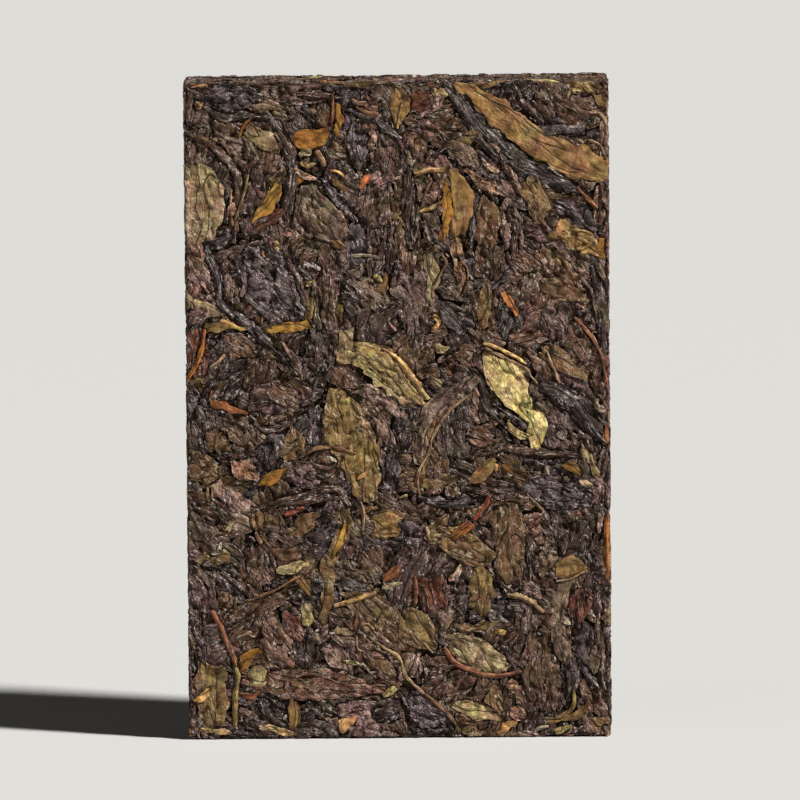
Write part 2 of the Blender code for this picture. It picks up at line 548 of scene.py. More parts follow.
def leaf_finish(name, groove, ridge_highlight, gloss, net, folds, depth, glint_and_dust_colour=(214, 200, 190), glint_and_dust_strength=0.6,
                dark=(36, 19, 10), stain=0.5, sway_by=2.0, pebbling=0.35, cracking=0.4, patching=0.6,
                folding=0.5):
    """Dried leaf: each leaf's own tint, stained darker in patches, with painted shade in its folds, its
    cracks and deep between leaves, and painted highlights, partly real wear, along its ridges and torn
    edge."""
    finish = bpy.data.materials.new(name)
    finish.use_nodes = True
    tree = finish.node_tree
    surface = tree.nodes["Principled BSDF"]
    tint = node_in(tree, "ShaderNodeAttribute", attribute_name="tint").outputs["Color"]
    place = node_in(tree, "ShaderNodeAttribute", attribute_name="grain").outputs["Vector"]
    form = node_in(tree, "ShaderNodeAttribute", attribute_name="form").outputs["Vector"]
    relief = tree.nodes.new("ShaderNodeSeparateXYZ")
    tree.links.new(form, relief.inputs["Vector"])

    # the lines that wander along the leaf, and the clouds over it
    sway, sway_colour = clouds_in(tree, place, scale=0.2, detail=1.0)
    blotches, blotch_colour = clouds_in(tree, place, scale=0.6, detail=4.0, roughness=0.65)
    pebbles, _ = clouds_in(tree, place, scale=1.8, detail=2.0)
    swayed = node_in(tree, "ShaderNodeVectorMath", operation="MULTIPLY_ADD")
    for socket, given in zip(swayed.inputs, (sway_colour, (sway_by, sway_by, 0.0), place)):
        feed(tree, socket, given)
    flow = swayed.outputs["Vector"]
    across, along = folds
    veins, = lines_in(tree, flow, *net, 0.14, detail=3.0, roughness=0.6)
    valleys, slopes = lines_in(tree, flow, across, along, 0.035, 0.16, detail=1.0)
    cracks, = lines_in(tree, flow, across * 0.55, along * 0.4, 0.04, detail=2.0)
    crests, = lines_in(tree, flow, across * 0.8, along * 0.7, 0.03, detail=2.0)
    crumpled = ranged_in(tree, sway, from_min=0.42, from_max=0.56, to_min=0.1)
    ridges = worked_in(tree, "MULTIPLY", veins, crumpled)
    deepest = worked_in(tree, "MULTIPLY_ADD", cracks, cracking, valleys)

    # the leaf's own colour, faded and stained in patches
    faded = ranged_in(
        tree, sway, from_min=0.36, from_max=0.64, to_min=1 + 0.5 * patching, to_max=1 - 0.3 * patching)
    patched = node_in(tree, "ShaderNodeVectorMath", operation="SCALE")
    tree.links.new(tint, patched.inputs["Vector"])
    tree.links.new(faded, patched.inputs["Scale"])
    stains = ranged_in(tree, blotches, from_min=0.47, from_max=0.57, to_max=stain)
    colour = mixed_in(tree, "OVERLAY", 0.3, patched.outputs["Vector"], sway_colour)
    colour = mixed_in(tree, "OVERLAY", 0.3, colour, blotch_colour)
    colour = mixed_in(tree, "MIX", stains, colour, (*tone(*dark), 1))

    # painted highlight on its ridges and painted shade in its grooves and down the slopes of its folds,
    # and uneven over its pebbled skin
    ridge_light_groove_shade = ramp_in(tree, ridges, 0.0, groove, 0.9, ridge_highlight)
    fold_slope_shade = ramp_in(tree, slopes, 0.0, (1.15, 1.14, 1.13), 1.0, (0.62, 0.56, 0.52))
    pebbled = ramp_in(tree, pebbles, 0.38, (0.6, 0.5, 0.43), 0.62, (1.25, 1.25, 1.28))
    colour = mixed_in(tree, "MULTIPLY", 1.0, colour, ridge_light_groove_shade)
    colour = mixed_in(tree, "MULTIPLY", folding, colour, fold_slope_shade)
    colour = mixed_in(tree, "MULTIPLY", pebbling, colour, pebbled)

    # painted glints and highlights, pale as frost where it is sharpest, along its crests and its torn
    # edge, partly the real dust and wear of dry leaf
    sharp_glint = ranged_in(tree, ridges, from_min=0.8, to_max=glint_and_dust_strength)
    torn = ranged_in(tree, relief.outputs["Z"], from_min=0.55, to_max=0.5 * glint_and_dust_strength)
    pale = worked_in(tree, "MAXIMUM", sharp_glint, torn)
    glint_and_wear = worked_in(tree, "MULTIPLY_ADD", crests, 1.3 * glint_and_dust_strength, pale)
    proud = ranged_in(tree, pebbles, from_min=0.44, from_max=0.62, to_min=0.2)
    glint_and_dust_mask = worked_in(tree, "MULTIPLY", glint_and_wear, proud)
    colour = mixed_in(tree, "MIX", glint_and_dust_mask, colour, (*tone(*glint_and_dust_colour), 1))

    # painted shade: nearly black down in its cracks and deep between the other leaves
    crack_painted_shade = ranged_in(tree, deepest, to_min=1.0, to_max=0.3)
    depth_painted_shade = ranged_in(
        tree, relief.outputs["Y"], from_min=-0.95, from_max=-0.45, to_min=0.15, to_max=1.0)
    free_of_painted_shade = worked_in(tree, "MULTIPLY", crack_painted_shade, depth_painted_shade)
    colour = mixed_in(tree, "MIX", free_of_painted_shade, (*tone(13, 3, 0), 1), colour)
    tree.links.new(colour, surface.inputs["Base Color"])

    surface.inputs["Specular IOR Level"].default_value = 0.16
    surface.inputs["Specular Tint"].default_value = (1.0, 0.8, 0.64, 1)
    roughness = ranged_in(tree, ridges, to_min=gloss + 0.35, to_max=gloss - 0.08)
    tree.links.new(roughness, surface.inputs["Roughness"])

    height = worked_in(tree, "MULTIPLY_ADD", deepest, -1.8, ridges)
    height = worked_in(tree, "ADD", height, crests)
    height = worked_in(tree, "MULTIPLY_ADD", pebbles, 2.0 * pebbling, height)
    height = worked_in(tree, "MULTIPLY_ADD", slopes, -3.0 * folding, height)
    bump = node_in(tree, "ShaderNodeBump", strength=1.0, distance=depth * MM)
    tree.links.new(height, bump.inputs["Height"])
    tree.links.new(bump.outputs["Normal"], surface.inputs["Normal"])
    return finish


STEM_TINTS = {
    "red": tone(190, 100, 75), "tan": tone(175, 145, 115), "yellow": tone(205, 170, 115),
    "brown": tone(135, 100, 75), "rust": tone(145, 95, 70), "olive": tone(150, 130, 85),
    "pale": tone(215, 200, 185), "pink": tone(160, 125, 105), "orange": tone(185, 120, 65),
}
FRONT_STEMS = [
    # path across and up the face, thickness, tint
    ([(-24.6, 47.9), (-22.5, 48.4), (-19.8, 49.4)], 1.0, "red"),
    ([(-19.2, 61), (-17, 62.1), (-13.5, 62.1), (-8.8, 61)], 0.8, "brown"),
    ([(-13.8, 28.4), (-9, 29.9), (-5, 31.2)], 1.25, "yellow"),
    ([(-5.6, 21), (-3, 19.2), (0, 17), (1.4, 13), (5, 9.5)], 0.7, "tan"),
    ([(5, 9.5), (8.5, 6.6), (12, 2.8)], 0.55, "brown"),
    ([(-9.2, 22), (-8.2, 24), (-6.8, 24.5), (-5.4, 23.3)], 0.5, "tan"),
    ([(-9.2, 22), (-9, 19.5), (-8.2, 18.6)], 0.6, "pink"),
    ([(-40, 27.5), (-38.4, 25), (-36.6, 20.5), (-34.9, 15.6)], 1.3, "rust"),
    ([(-35.5, 17.5), (-34.6, 14), (-35, 9), (-35.3, 2.5)], 1.3, "olive"),
    ([(16, 46.8), (17.8, 49), (19.2, 51.8)], 1.0, "red"),
    ([(11, 42.6), (13.3, 44.3), (15.5, 46)], 2.3, "orange"),
    ([(31.1, 58.2), (31.8, 56.1)], 0.9, "pale"),
    ([(27, 52.2), (28.8, 50.2), (30.8, 48.4)], 0.6, "tan"),
    ([(18, 84.2), (20.4, 83.6), (24.4, 81.5), (27.4, 79.6)], 0.8, "yellow"),
    ([(18.4, 83.2), (22, 81.4), (26.8, 78.9), (28.2, 76.9), (29.7, 75.3)], 0.6, "tan"),
    ([(15.4, 73.4), (12, 71), (9.4, 68.2), (7.2, 64), (6.2, 60.4), (4, 56.4), (4.4, 51.5)], 0.8, "tan"),
    ([(-3.2, 83.3), (-1, 81.9), (0.6, 80.2), (2.6, 77.6), (4.4, 75), (6.3, 72.4)],
     [(0.1, 0.3), (0.5, 0.4), (0.8, 0.6), (0.9, 0.7), (0.7, 0.6), (0.4, 0.5)], "yellow"),
    ([(-40.8, 87.6), (-41.4, 84), (-42.6, 80), (-45, 76.5)], 0.9, "orange"),
    ([(-17.2, 125.4), (-16, 123.8), (-15.1, 121.9)], 1.3, "pink"),
    ([(-9.4, 136), (-7.6, 135.2), (-6.2, 135.5)], 0.8, "tan"),
    ([(-8.4, 134.5), (-6.4, 133.4), (-4, 132.8)], 0.9, "rust"),
    ([(-13.4, 137.4), (-13.3, 134), (-13.6, 130.5)], 0.7, "rust"),
    ([(38, 117.2), (40, 115), (42.4, 112.6)], 0.9, "rust"),
    ([(-36.6, 82.2), (-38.4, 80.2), (-40.2, 79)], 0.7, "tan"),
    ([(-24.4, 84.6), (-22.6, 81.3)], 0.8, "pink"),
    ([(37.4, 89.6), (40.6, 86), (43, 81.6), (44.3, 74)], 0.8, "rust"),
    ([(9.3, 19.4), (11.6, 16.2), (15.6, 14.2), (20.6, 13.2), (26, 14)], 1.1, "rust"),
    ([(22.8, 30.7), (27, 29.6), (30.6, 26.8)], 1.3, "tan"),
    ([(33, 33.3), (36.6, 33.9), (40.2, 35.8)], 0.5, "tan"),
    ([(44.1, 48), (44.3, 41), (44.2, 34)], 1.5, "orange"),
    ([(-8.2, 50.9), (-7.5, 48.4), (-7.8, 44.3)], 0.6, "tan"),
    ([(-40.5, 54), (-40.4, 51)], 0.5, "tan"),
    ([(-39.7, 53.6), (-39.6, 51.2)], 0.4, "tan"),
    ([(5, 112.3), (7.4, 112.9), (9.6, 114.4)], 0.9, "yellow"),
    ([(5.2, 112.8), (6, 116), (7.4, 118.6)], 0.7, "brown"),
    ([(3.8, 120.3), (7, 121), (10, 121)], 1.3, "yellow"),
    ([(-33.4, 29.2), (-27.5, 31.4), (-21, 34.8)], 0.6, "brown"),
    ([(28, 0.9), (29.4, 2), (31.4, 2.4)], 0.6, "pale"),
    ([(-9.1, 27), (-9.4, 23)], 0.9, "rust"),
    ([(3.2, 34.6), (3.5, 31.5), (3.4, 28.8)], 1.0, "rust"),
    ([(30, 4), (34, 4.4), (36.6, 6.4), (36.9, 10)], 0.8, "olive"),
    ([(-31.4, 120.4), (-32.4, 116), (-34.2, 110.6)], 0.6, "olive"),
    ([(13.6, 101.5), (14.8, 100.2), (14.9, 97.5), (14, 95)], 0.5, "brown"),
    ([(9.6, 102.8), (10.2, 101), (7.8, 96.8)], 0.5, "pink"),
    ([(40.5, 127.2), (43, 126), (44.4, 123)], 0.6, "tan"),
    ([(40.6, 133), (43.4, 132.4), (44.6, 128)], 0.7, "tan"),
    ([(31.6, 82.4), (33, 78.6), (34.2, 75.8)], 0.5, "tan"),
    ([(-1.6, 88.6), (-0.4, 87)], 0.6, "pink"),
]
stem_draw = np.random.default_rng(11)
stems = new_leaves()
for path, thickness, tint in FRONT_STEMS:
    lay(stems, stem_draw, "front", path, thickness, STEM_TINTS[tint], form="rod", level=-SKIN, swell=0,
        rag=0.08, cell=0.25)
scatter(stems, stem_draw, 60, (4, 12), (0.4, 1.0), list(STEM_TINTS.values()), tries=2, front=0.1,
        forms=("rod",), paleness=(0.5, 1), highest=-0.08, lowest=-0.3, rag=0.08)
into_piece("stems", stems, leaf_finish(
    "dried_stem", groove=(0.62, 0.56, 0.5), ridge_highlight=(1.15, 1.12, 1.08), gloss=0.4, net=(0.35, 4.0),
    folds=(0.8, 9.0), depth=0.1, glint_and_dust_strength=0.2, stain=0.45, sway_by=0.5, pebbling=0.2))


# The buds and pale curls: downy tips, bleached flakes and curled ends of leaf, cream to pinkish,
# small and bright, pressed in here and there.
BUD_TINTS = {
    "cream": tone(200, 180, 145), "white": tone(235, 225, 210), "peach": tone(210, 160, 120),
    "pink": tone(215, 180, 160), "straw": tone(205, 180, 125), "gold": tone(225, 185, 110),
    "lilac": tone(170, 145, 145), "rose": tone(205, 155, 135),
}
FRONT_BUDS = [
    ([(-34.8, 47.2), (-36, 45.2), (-37.3, 43.2)], 1.4, "cream"),
    ([(-39.7, 39.9), (-38.3, 40.2), (-37.8, 41.9)], 1.0, "white"),
    ([(-30.2, 44.7), (-29.9, 43.2), (-29, 41.8)], 1.0, "peach"),
    ([(-5.6, 129.6), (-4.6, 128), (-5.4, 126.4), (-4.2, 125.6)], 1.4, "pink"),
    ([(-20.7, 123.6), (-19.6, 124.9), (-17.6, 125)], 1.4, "cream"),
    ([(-20.2, 122.9), (-18.6, 122.1), (-17.2, 122.6)], 1.3, "straw"),
    ([(-21.6, 121.3), (-19.4, 120.2), (-17, 119.2)], 1.2, "pink"),
    ([(36.2, 136.3), (37, 137.6), (39.4, 137.4)], 1.2, "straw"),
    ([(-19.6, 101.7), (-16, 100.2)], 1.2, "white"),
    ([(-24.8, 4.1), (-24.1, 5.3)], 0.8, "white"),
    ([(34.9, 25), (35.9, 24.2)], 1.0, "white"),
    ([(-12.3, 16.9), (-10.6, 16.3), (-8.8, 16)], 1.0, "cream"),
    ([(38.8, 54.7), (41.2, 53.4)], 1.6, "cream"),
    ([(23.5, 68), (24.2, 66.3), (25.6, 64.9), (27.6, 64)],
     [(0.1, 0.2), (0.4, 1.2), (0.6, 0.9), (0.7, 0.4)], "straw"),
    ([(17.8, 123.6), (19.6, 121.6), (21.4, 120.4)], 1.3, "pink"),
    ([(10.4, 33.6), (12.2, 35), (13, 36.8)], 1.3, "pink"),
    ([(-3.6, 32.1), (-1.6, 32.9), (0.8, 33.2)], 1.0, "cream"),
    ([(5.8, 45.4), (6.4, 42.9)], 0.9, "pink"),
    ([(20, 22.9), (22.9, 22.3)], 1.0, "gold"),
    ([(7.6, 90.2), (8.7, 88.7), (7.4, 86.8)], 1.2, "gold"),
    ([(22.6, 11.6), (25, 10.8)], 2.2, "rose"),
    ([(23.4, 5.6), (26.6, 4.6)], 2.8, "rose"),
    ([(-36.6, 53.2), (-35.6, 49.8)], 1.5, "lilac"),
    ([(42.9, 48.4), (42.4, 44)], 1.3, "lilac"),
    ([(-42.2, 135.6), (-40.8, 134.6)], 1.6, "straw"),
    ([(-43.4, 139.2), (-40, 139.4)], 1.4, "peach"),
    ([(-30, 2.8), (-26.6, 2), (-22, 0.9)], 1.5, "straw"),
    ([(-34.6, 6.6), (-31.6, 5.4)], 1.2, "pink"),
    ([(-3.4, 9.4), (-0.6, 10.8)], 1.4, "straw"),
    ([(-32.6, 100), (-32.3, 97), (-32.8, 94.6)], 1.0, "lilac"),
    ([(-26, 106.3), (-25, 104.2)], 1.4, "straw"),
    ([(14, 0.6), (17.2, 1.1)], 1.2, "pink"),
    ([(33, 1.2), (37, 2.4)], 1.2, "straw"),
    ([(-43.6, 2.2), (-36, 1.6)], 1.1, "straw"),
    ([(-24, 108.8), (-21.8, 107.4)], 1.8, "rose"),
    ([(-33.8, 22), (-32.2, 22.8), (-31, 22.4)], 0.6, "pink"),
    ([(15.4, 87.4), (16.6, 85.6)], 0.7, "cream"),
    ([(-29.4, 65.2), (-28.4, 64.6)], 0.8, "cream"),
    ([(-31.8, 63.8), (-31, 62.8)], 0.7, "cream"),
    ([(-14.9, 60.2), (-13.2, 59.4)], 0.9, "white"),
    ([(26.4, 61.2), (27.2, 61.8)], 0.9, "white"),
    ([(-45, 122.2), (-43.8, 119.6)], 1.6, "cream"),
    ([(-5, 98.8), (-3.4, 97.6)], 1.2, "straw"),
    ([(2, 52.2), (0.2, 51.4)], 0.8, "cream"),
]
bud_draw = np.random.default_rng(12)
buds = new_leaves()
for path, width, tint in FRONT_BUDS:
    lay(buds, bud_draw, "front", path, width, BUD_TINTS[tint], form="strip", level=-SKIN, swell=0,
        rag=0.12, cell=0.25)
scatter(buds, bud_draw, 120, (1.2, 3.6), (0.5, 1.1), list(BUD_TINTS.values()), tries=2, front=0.15,
        paleness=(0.5, 1), highest=-0.08, lowest=-0.3, rag=0.12)
into_piece("buds_and_curls", buds, leaf_finish(
    "downy_bud", groove=(0.6, 0.54, 0.48), ridge_highlight=(1.12, 1.1, 1.06), gloss=0.5, net=(0.4, 1.2),
    folds=(0.8, 2.5), depth=0.12, glint_and_dust_strength=0.2, pebbling=0.4))


# The amber leaves: torn stalk ends and thin golden-brown leaves that let some light through, smooth
# and slightly waxy, with a vein or two.
AMBER_TINTS = {
    "amber": tone(148, 102, 46), "ochre": tone(138, 106, 68), "gold": tone(152, 112, 52),
    "orange": tone(215, 125, 80), "brown": tone(118, 90, 58), "rust": tone(134, 82, 54),
    "wine": tone(85, 48, 44), "honey": tone(200, 155, 98), "moss": tone(128, 106, 62),
}
FRONT_AMBER = [
    ([(13.4, 139.2), (18, 135.8), (24, 131), (30, 126.6), (36, 123.4), (44.6, 119.4)],
     [(0.8, 0.8), (2.6, 2.4), (2.9, 2.8), (2.4, 3.2), (3.6, 3.4), (3.6, 1.6)], "ochre"),
    ([(-22.6, 127.6), (-20, 127.8), (-17.5, 127.9), (-15.2, 127.9)],
     [(0.4, 0.4), (1.7, 2.3), (2.1, 2.2), (1.8, 1.7)], "amber"),
    ([(-12.3, 134.6), (-12.2, 131), (-12.6, 127.6)], 1.7, "amber"),
    ([(-5.8, 120.2), (-6.6, 119.2), (-7.6, 117.6)], 1.4, "orange"),
    ([(-24.4, 118.6), (-25.6, 116), (-27.8, 113.4), (-30.2, 110.8)],
     [(0.6, 0.9), (1.3, 1.8), (1.2, 1.1), (0.2, 0.3)], "gold"),
    ([(-23.4, 112.6), (-26, 111), (-29.4, 109)], 2.4, "wine"),
    ([(10.4, 119), (10.6, 112), (9.6, 105)], 1.6, "amber"),
    ([(12, 120.4), (13.4, 116.6), (13.8, 112), (12.8, 107.4)],
     [(1, 1), (2.4, 1.9), (2.2, 2.2), (1, 1.2)], "ochre"),
    ([(33.4, 109.8), (36, 108.4)], 2.8, "honey"),
    ([(42.6, 106.8), (43.3, 104.4), (42.9, 102)], 1.6, "amber"),
    ([(-27.6, 87.4), (-22.5, 88.1), (-17.6, 88.2)], 2.2, "gold"),
    ([(-18.8, 89), (-18.6, 92), (-18.3, 95)], 2.0, "moss"),
    ([(-29.6, 54.4), (-27, 55.4), (-24.6, 57.2)], 1.9, "amber"),
    ([(23.1, 94.5), (24, 92.6), (25, 90.5)], 1.7, "orange"),
    ([(-11.4, 45.8), (-12.6, 43), (-13.6, 39.8)], 1.3, "gold"),
    ([(-44, 8.2), (-42, 9), (-40.4, 10.2)], 1.6, "honey"),
    ([(-34.2, 15.2), (-32, 17.6), (-30, 19.2)], 1.7, "amber"),
    ([(-34, 9.6), (-31.4, 9.5), (-28.8, 10.2)], 1.1, "rust"),
    ([(-13, 1.9), (-11.4, 3.2), (-9.5, 4.6)], 2.1, "honey"),
    ([(-22.8, 8.4), (-22.6, 5.6), (-22.8, 3)], 2.2, "brown"),
    ([(20.8, 2), (22.4, 2.4), (24.2, 3)], 1.7, "honey"),
    ([(15.6, 54.6), (18, 56.6), (20.6, 59.6)], 2.6, "ochre"),
    ([(20.2, 58.4), (20.9, 56.4)], 1.4, "honey"),
    ([(22.6, 58), (24, 56.8)], 1.8, "amber"),
    ([(35.6, 58.2), (37, 57.6), (38.2, 56.6)], 1.9, "gold"),
    ([(44.2, 66.4), (44.6, 62)], 1.6, "rust"),
    ([(40, 7), (37.6, 4.6), (32, 3.4)], 1.5, "brown"),
    ([(33.6, 36), (36.4, 37), (39.8, 35.8)], [(0.8, 2), (1.9, 2.4), (0.3, 0.5)], "ochre"),
    ([(-40.4, 74.8), (-38.4, 72), (-35.4, 70.6), (-32.6, 69.8)], 1.7, "rust"),
    ([(-3, 33.8), (-1.4, 35.2), (-0.4, 36.6)], 2.2, "rust"),
    ([(-41.4, 87.8), (-39, 88.2), (-36.8, 88)], 2.0, "moss"),
    ([(-37, 89.2), (-33.2, 87.4)], 1.5, "honey"),
    ([(-22, 119.6), (-19.4, 120)], 2.6, "amber"),
    ([(-14.4, 121), (-12.8, 120.9), (-11.6, 120.2)], 1.0, "honey"),
    ([(-13.6, 119), (-10, 116.6)], 1.4, "brown"),
    ([(42.2, 136.6), (43.6, 134.8)], 2.4, "brown"),
    ([(-6.4, 57.4), (-8.2, 56)], 0.8, "honey"),
    ([(8.2, 69), (4.4, 54)], 1.0, "brown"),
    ([(-13.6, 106), (-11.4, 104.6)], 2.0, "ochre"),
    ([(-12.4, 93), (-12, 89.6)], 1.5, "moss"),
    ([(-2.6, 98.4), (-3, 94.6)], 1.8, "brown"),
    ([(5.6, 58.4), (4, 55)], 1.0, "ochre"),
    ([(-21.6, 34.8), (-19.4, 31.8)], 2.2, "brown"),
]
amber_draw = np.random.default_rng(13)
amber = new_leaves()
for path, width, tint in FRONT_AMBER:
    lay(amber, amber_draw, "front", path, width, AMBER_TINTS[tint], form="strip", level=-0.12,
        swell=0.08, crease=0.06, furrow=0.08, rag=0.28, cell=0.3)
scatter(amber, amber_draw, 90, (3, 9), (1.0, 2.6), list(AMBER_TINTS.values()), tries=3, front=0,
        paleness=(0.35, 0.9), highest=-0.1, lowest=-0.3, crease=0.08, furrow=0.15)
into_piece("amber_leaves", amber, leaf_finish(
    "amber_leaf", groove=(0.94, 0.92, 0.88), ridge_highlight=(1.05, 1.04, 1.03), gloss=0.34, net=(1.0, 3.0),
    folds=(3.6, 26.0), depth=0.07, glint_and_dust_colour=(206, 176, 130), glint_and_dust_strength=0.15, dark=(54, 32, 16),
    cracking=0.0, patching=0.5, folding=0.2))


# The old leaves: coarse, mature leaf, olive to khaki, dull and pebbled all over, that stayed pale
# while the young leaf turned dark.
OLD_TINTS = {
    "khaki": tone(150, 130, 102), "pale": tone(205, 186, 130), "olive": tone(122, 98, 70),
    "grey": tone(112, 93, 84), "gold": tone(144, 113, 74), "brown": tone(104, 79, 60),
    "straw": tone(172, 152, 114), "moss": tone(118, 94, 66), "sand": tone(154, 132, 90),
    "bronze": tone(130, 106, 70),
}
FRONT_OLD = [
    ([(-40.6, 122.8), (-40.6, 118.6), (-40.6, 114), (-41, 109.6), (-41.4, 106)],
     [(1.8, 5.6), (3.6, 5.6), (4.2, 5.6), (3.8, 5.2), (1.6, 4.8)], "khaki", "scrap"),
    ([(18.4, 83), (20.8, 79.5), (23.2, 76), (25.2, 72.9), (25.5, 72.4), (27, 70), (28.8, 67.4),
      (29.4, 65), (28.5, 61.8)],
     [(0.3, 0.4), (1.7, 2.6), (4, 4.1), (4.4, 3.5), (2.7, 3.3), (1.8, 2), (2.8, 1.4), (1.8, 2.1),
      (0.7, 0.7)], "pale", "strip"),
    ([(16.4, 76.6), (12, 73.2), (8.4, 69), (6.4, 64), (5, 58)],
     [(0.8, 1), (2.2, 2.6), (1.6, 3.6), (0.9, 1.8), (0.3, 0.6)], "grey", "strip"),
    ([(-11, 87.4), (-10.6, 82.6)], [(1.6, 1.2), (1.7, 1.7)], "khaki", "strip"),
    ([(-8.2, 79), (-5, 76.9), (-1.6, 74), (3.4, 70.6)], 1.6, "straw", "strip"),
    ([(-13, 82), (-9, 82), (-5, 80.6), (-1, 77.8), (3, 73.8), (6, 70.9)],
     [(1.6, 1.6), (3, 2.4), (4, 3.5), (2.7, 3), (1.4, 2.2), (0.4, 0.4)], "sand", "strip"),
    ([(-13.5, 75), (-11.8, 70), (-10.2, 65), (-8.3, 60), (-7, 55), (-6.4, 50.5)],
     [(1.2, 1.5), (3.6, 4), (4.8, 5.4), (4.2, 4.6), (3.5, 3.8), (1.5, 1.8)], "bronze", "strip"),
    ([(-6, 45.2), (-4.4, 45.6), (-2, 45.8), (0.4, 45.6)],
     [(1.4, 2.4), (2.6, 3), (3.4, 3.2), (2.8, 2.8)], "gold", "scrap"),
    ([(-19, 117.6), (-17, 113.5), (-13.6, 109.8), (-10.4, 107.6)],
     [(1, 1), (3, 3.6), (3.2, 4.4), (0.6, 2.5)], "grey", "strip"),
    ([(-32.4, 130.4), (-28.6, 128), (-25, 125.4)], 3.4, "khaki", "scrap"),
    ([(0.6, 138.4), (0.8, 134.6), (0, 131)], 4.6, "gold", "blade"),
    ([(8.6, 138.2), (9.4, 136)], 3.0, "straw", "scrap"),
    ([(27.6, 119.6), (29.6, 115.4), (31.4, 110.6)], 5.4, "olive", "strip"),
    ([(19, 115.6), (19, 110), (19.6, 104)], 4.8, "brown", "strip"),
    ([(33, 107.6), (36.6, 107.2), (40.4, 106), (43.8, 103)],
     [(1.4, 0.6), (1.6, 2.6), (1.8, 3), (0.4, 0.6)], "gold", "strip"),
    ([(10.6, 126.4), (14, 124.6), (17.4, 121.4)], 4.2, "grey", "blade"),
    ([(30, 83.2), (34.6, 80.4), (40.4, 76.8)], 4.0, "olive", "strip"),
    ([(7, 76.8), (9.4, 74.6)], 2.6, "khaki", "scrap"),
    ([(7.2, 83.6), (10.8, 83.2)], 1.2, "straw", "scrap"),
    ([(12, 83.4), (15.6, 80)], 4.8, "brown", "blade"),
    ([(-24.4, 43.6), (-20.6, 45.6), (-16.6, 48.4)], 3.4, "brown", "blade"),
    ([(-42.4, 39), (-39, 39.4), (-35.8, 38.6)], 3.0, "moss", "scrap"),
    ([(-25.4, 36), (-22, 36.8), (-18.8, 38.4)], 1.9, "straw", "strip"),
    ([(38.8, 62.4), (40.6, 59.6), (42.2, 55.6)], 1.9, "khaki", "strip"),
    ([(6, 43.6), (10, 42.4), (14.5, 40.4), (20, 38.6)],
     [(1.6, 1.2), (3.4, 2.6), (3.2, 3.2), (1, 2)], "olive", "strip"),
    ([(23.4, 49.8), (23.8, 44), (23.6, 38), (24.4, 32.6)],
     [(2.2, 2.4), (3, 3), (3, 3.2), (1.6, 2)], "brown", "scrap"),
    ([(7.4, 43.2), (10.2, 47.8)], 3.0, "olive", "blade"),
    ([(-40.2, 17), (-40, 10), (-39.8, 3)], 7.0, "moss", "strip"),
    ([(-32.4, 13.6), (-28, 12.8)], 4.0, "straw", "scrap"),
    ([(9.6, 21.4), (15, 18.4), (23.6, 14.4)], 7.0, "khaki", "blade"),
    ([(10.8, 24.2), (15.4, 23.2), (20.4, 24.6)], 2.0, "olive", "strip"),
    ([(12, 7.6), (15, 6.4), (18.6, 5.2), (22.6, 3)],
     [(0.5, 1.2), (1.3, 2), (1.5, 1.6), (0.2, 0.4)], "straw", "strip"),
    ([(0.6, 27), (3.4, 23.6), (7, 19.6)], 7.4, "moss", "blade"),
    ([(-19.8, 28.4), (-19.8, 24.2)], 2.6, "straw", "scrap"),
    ([(-14.2, 23), (-10.4, 22.8)], 1.3, "khaki", "scrap"),
    ([(38.2, 35.2), (35, 32.4), (33.6, 27), (33.8, 21.6), (35.6, 16)],
     [(0.4, 0.4), (1.6, 1.6), (1.6, 1.5), (1.8, 1.7), (1.6, 1.4)], "grey", "strip"),
    ([(17.4, 36.4), (17.4, 31), (16.8, 26.6)], 5.0, "moss", "strip"),
    ([(-44.4, 94.6), (-41.2, 92.6), (-37.6, 90.6)], 2.4, "khaki", "strip"),
    ([(-41, 65), (-35.6, 62.4)], 4.6, "brown", "blade"),
    ([(6.8, 103), (7.6, 98), (6.8, 92.8)], 2.4, "khaki", "strip"),
    ([(36.4, 139.4), (43.6, 138.6)], 2.6, "gold", "strip"),
    ([(13.6, 127.4), (17.6, 128.6)], 3.0, "olive", "blade"),
    ([(-44, 59), (-38, 56)], 6.0, "brown", "blade"),
    ([(4.6, 54), (12, 55.6)], 2.2, "olive", "strip"),
    ([(30, 98), (40, 93)], 4.4, "brown", "blade"),
    ([(19.4, 10.8), (21.2, 6)], 3.6, "moss", "blade"),
    ([(41.2, 20), (41.6, 14)], 2.4, "grey", "blade"),
    ([(40.4, 4.2), (44.4, 3)], 2.6, "olive", "blade"),
    ([(-24.6, 59.6), (-20, 63.4)], 4.4, "brown", "blade"),
    ([(18.8, 97.4), (18.4, 92.4), (18, 87.6)], [(0.8, 0.8), (1.6, 1.6), (1, 1)], "moss", "strip"),
    ([(-10.8, 50), (-12, 44), (-14.6, 38), (-15.4, 31), (-16.4, 24)],
     [(0.8, 1.4), (1.8, 1.4), (1.2, 1.8), (1.6, 1), (0.6, 0.8)], "moss", "strip"),
]
old_draw = np.random.default_rng(14)
old = new_leaves()
for path, width, tint, form in FRONT_OLD:
    lay(old, old_draw, "front", path, width, OLD_TINTS[tint], form=form, level=-0.18, swell=0.12,
        crease=0.14, furrow=0.25, stretch=2.0, rag=0.2 if isinstance(width, list) else 0.3)
scatter(old, old_draw, 100, (7, 17), (2.5, 6), list(OLD_TINTS.values()), tries=4, front=0,
        paleness=(0.4, 0.8), highest=-0.12, lowest=-0.3, crease=0.14, furrow=0.2, stretch=2.0)
into_piece("old_leaves", old, leaf_finish(
    "old_leaf", groove=(0.8, 0.74, 0.64), ridge_highlight=(1.12, 1.12, 1.12), gloss=0.42, net=(0.8, 0.9),
    folds=(3.0, 9.0), depth=0.12, glint_and_dust_colour=(206, 192, 158), glint_and_dust_strength=0.35, dark=(64, 42, 22),
    pebbling=0.45, cracking=0.15, folding=0.4))


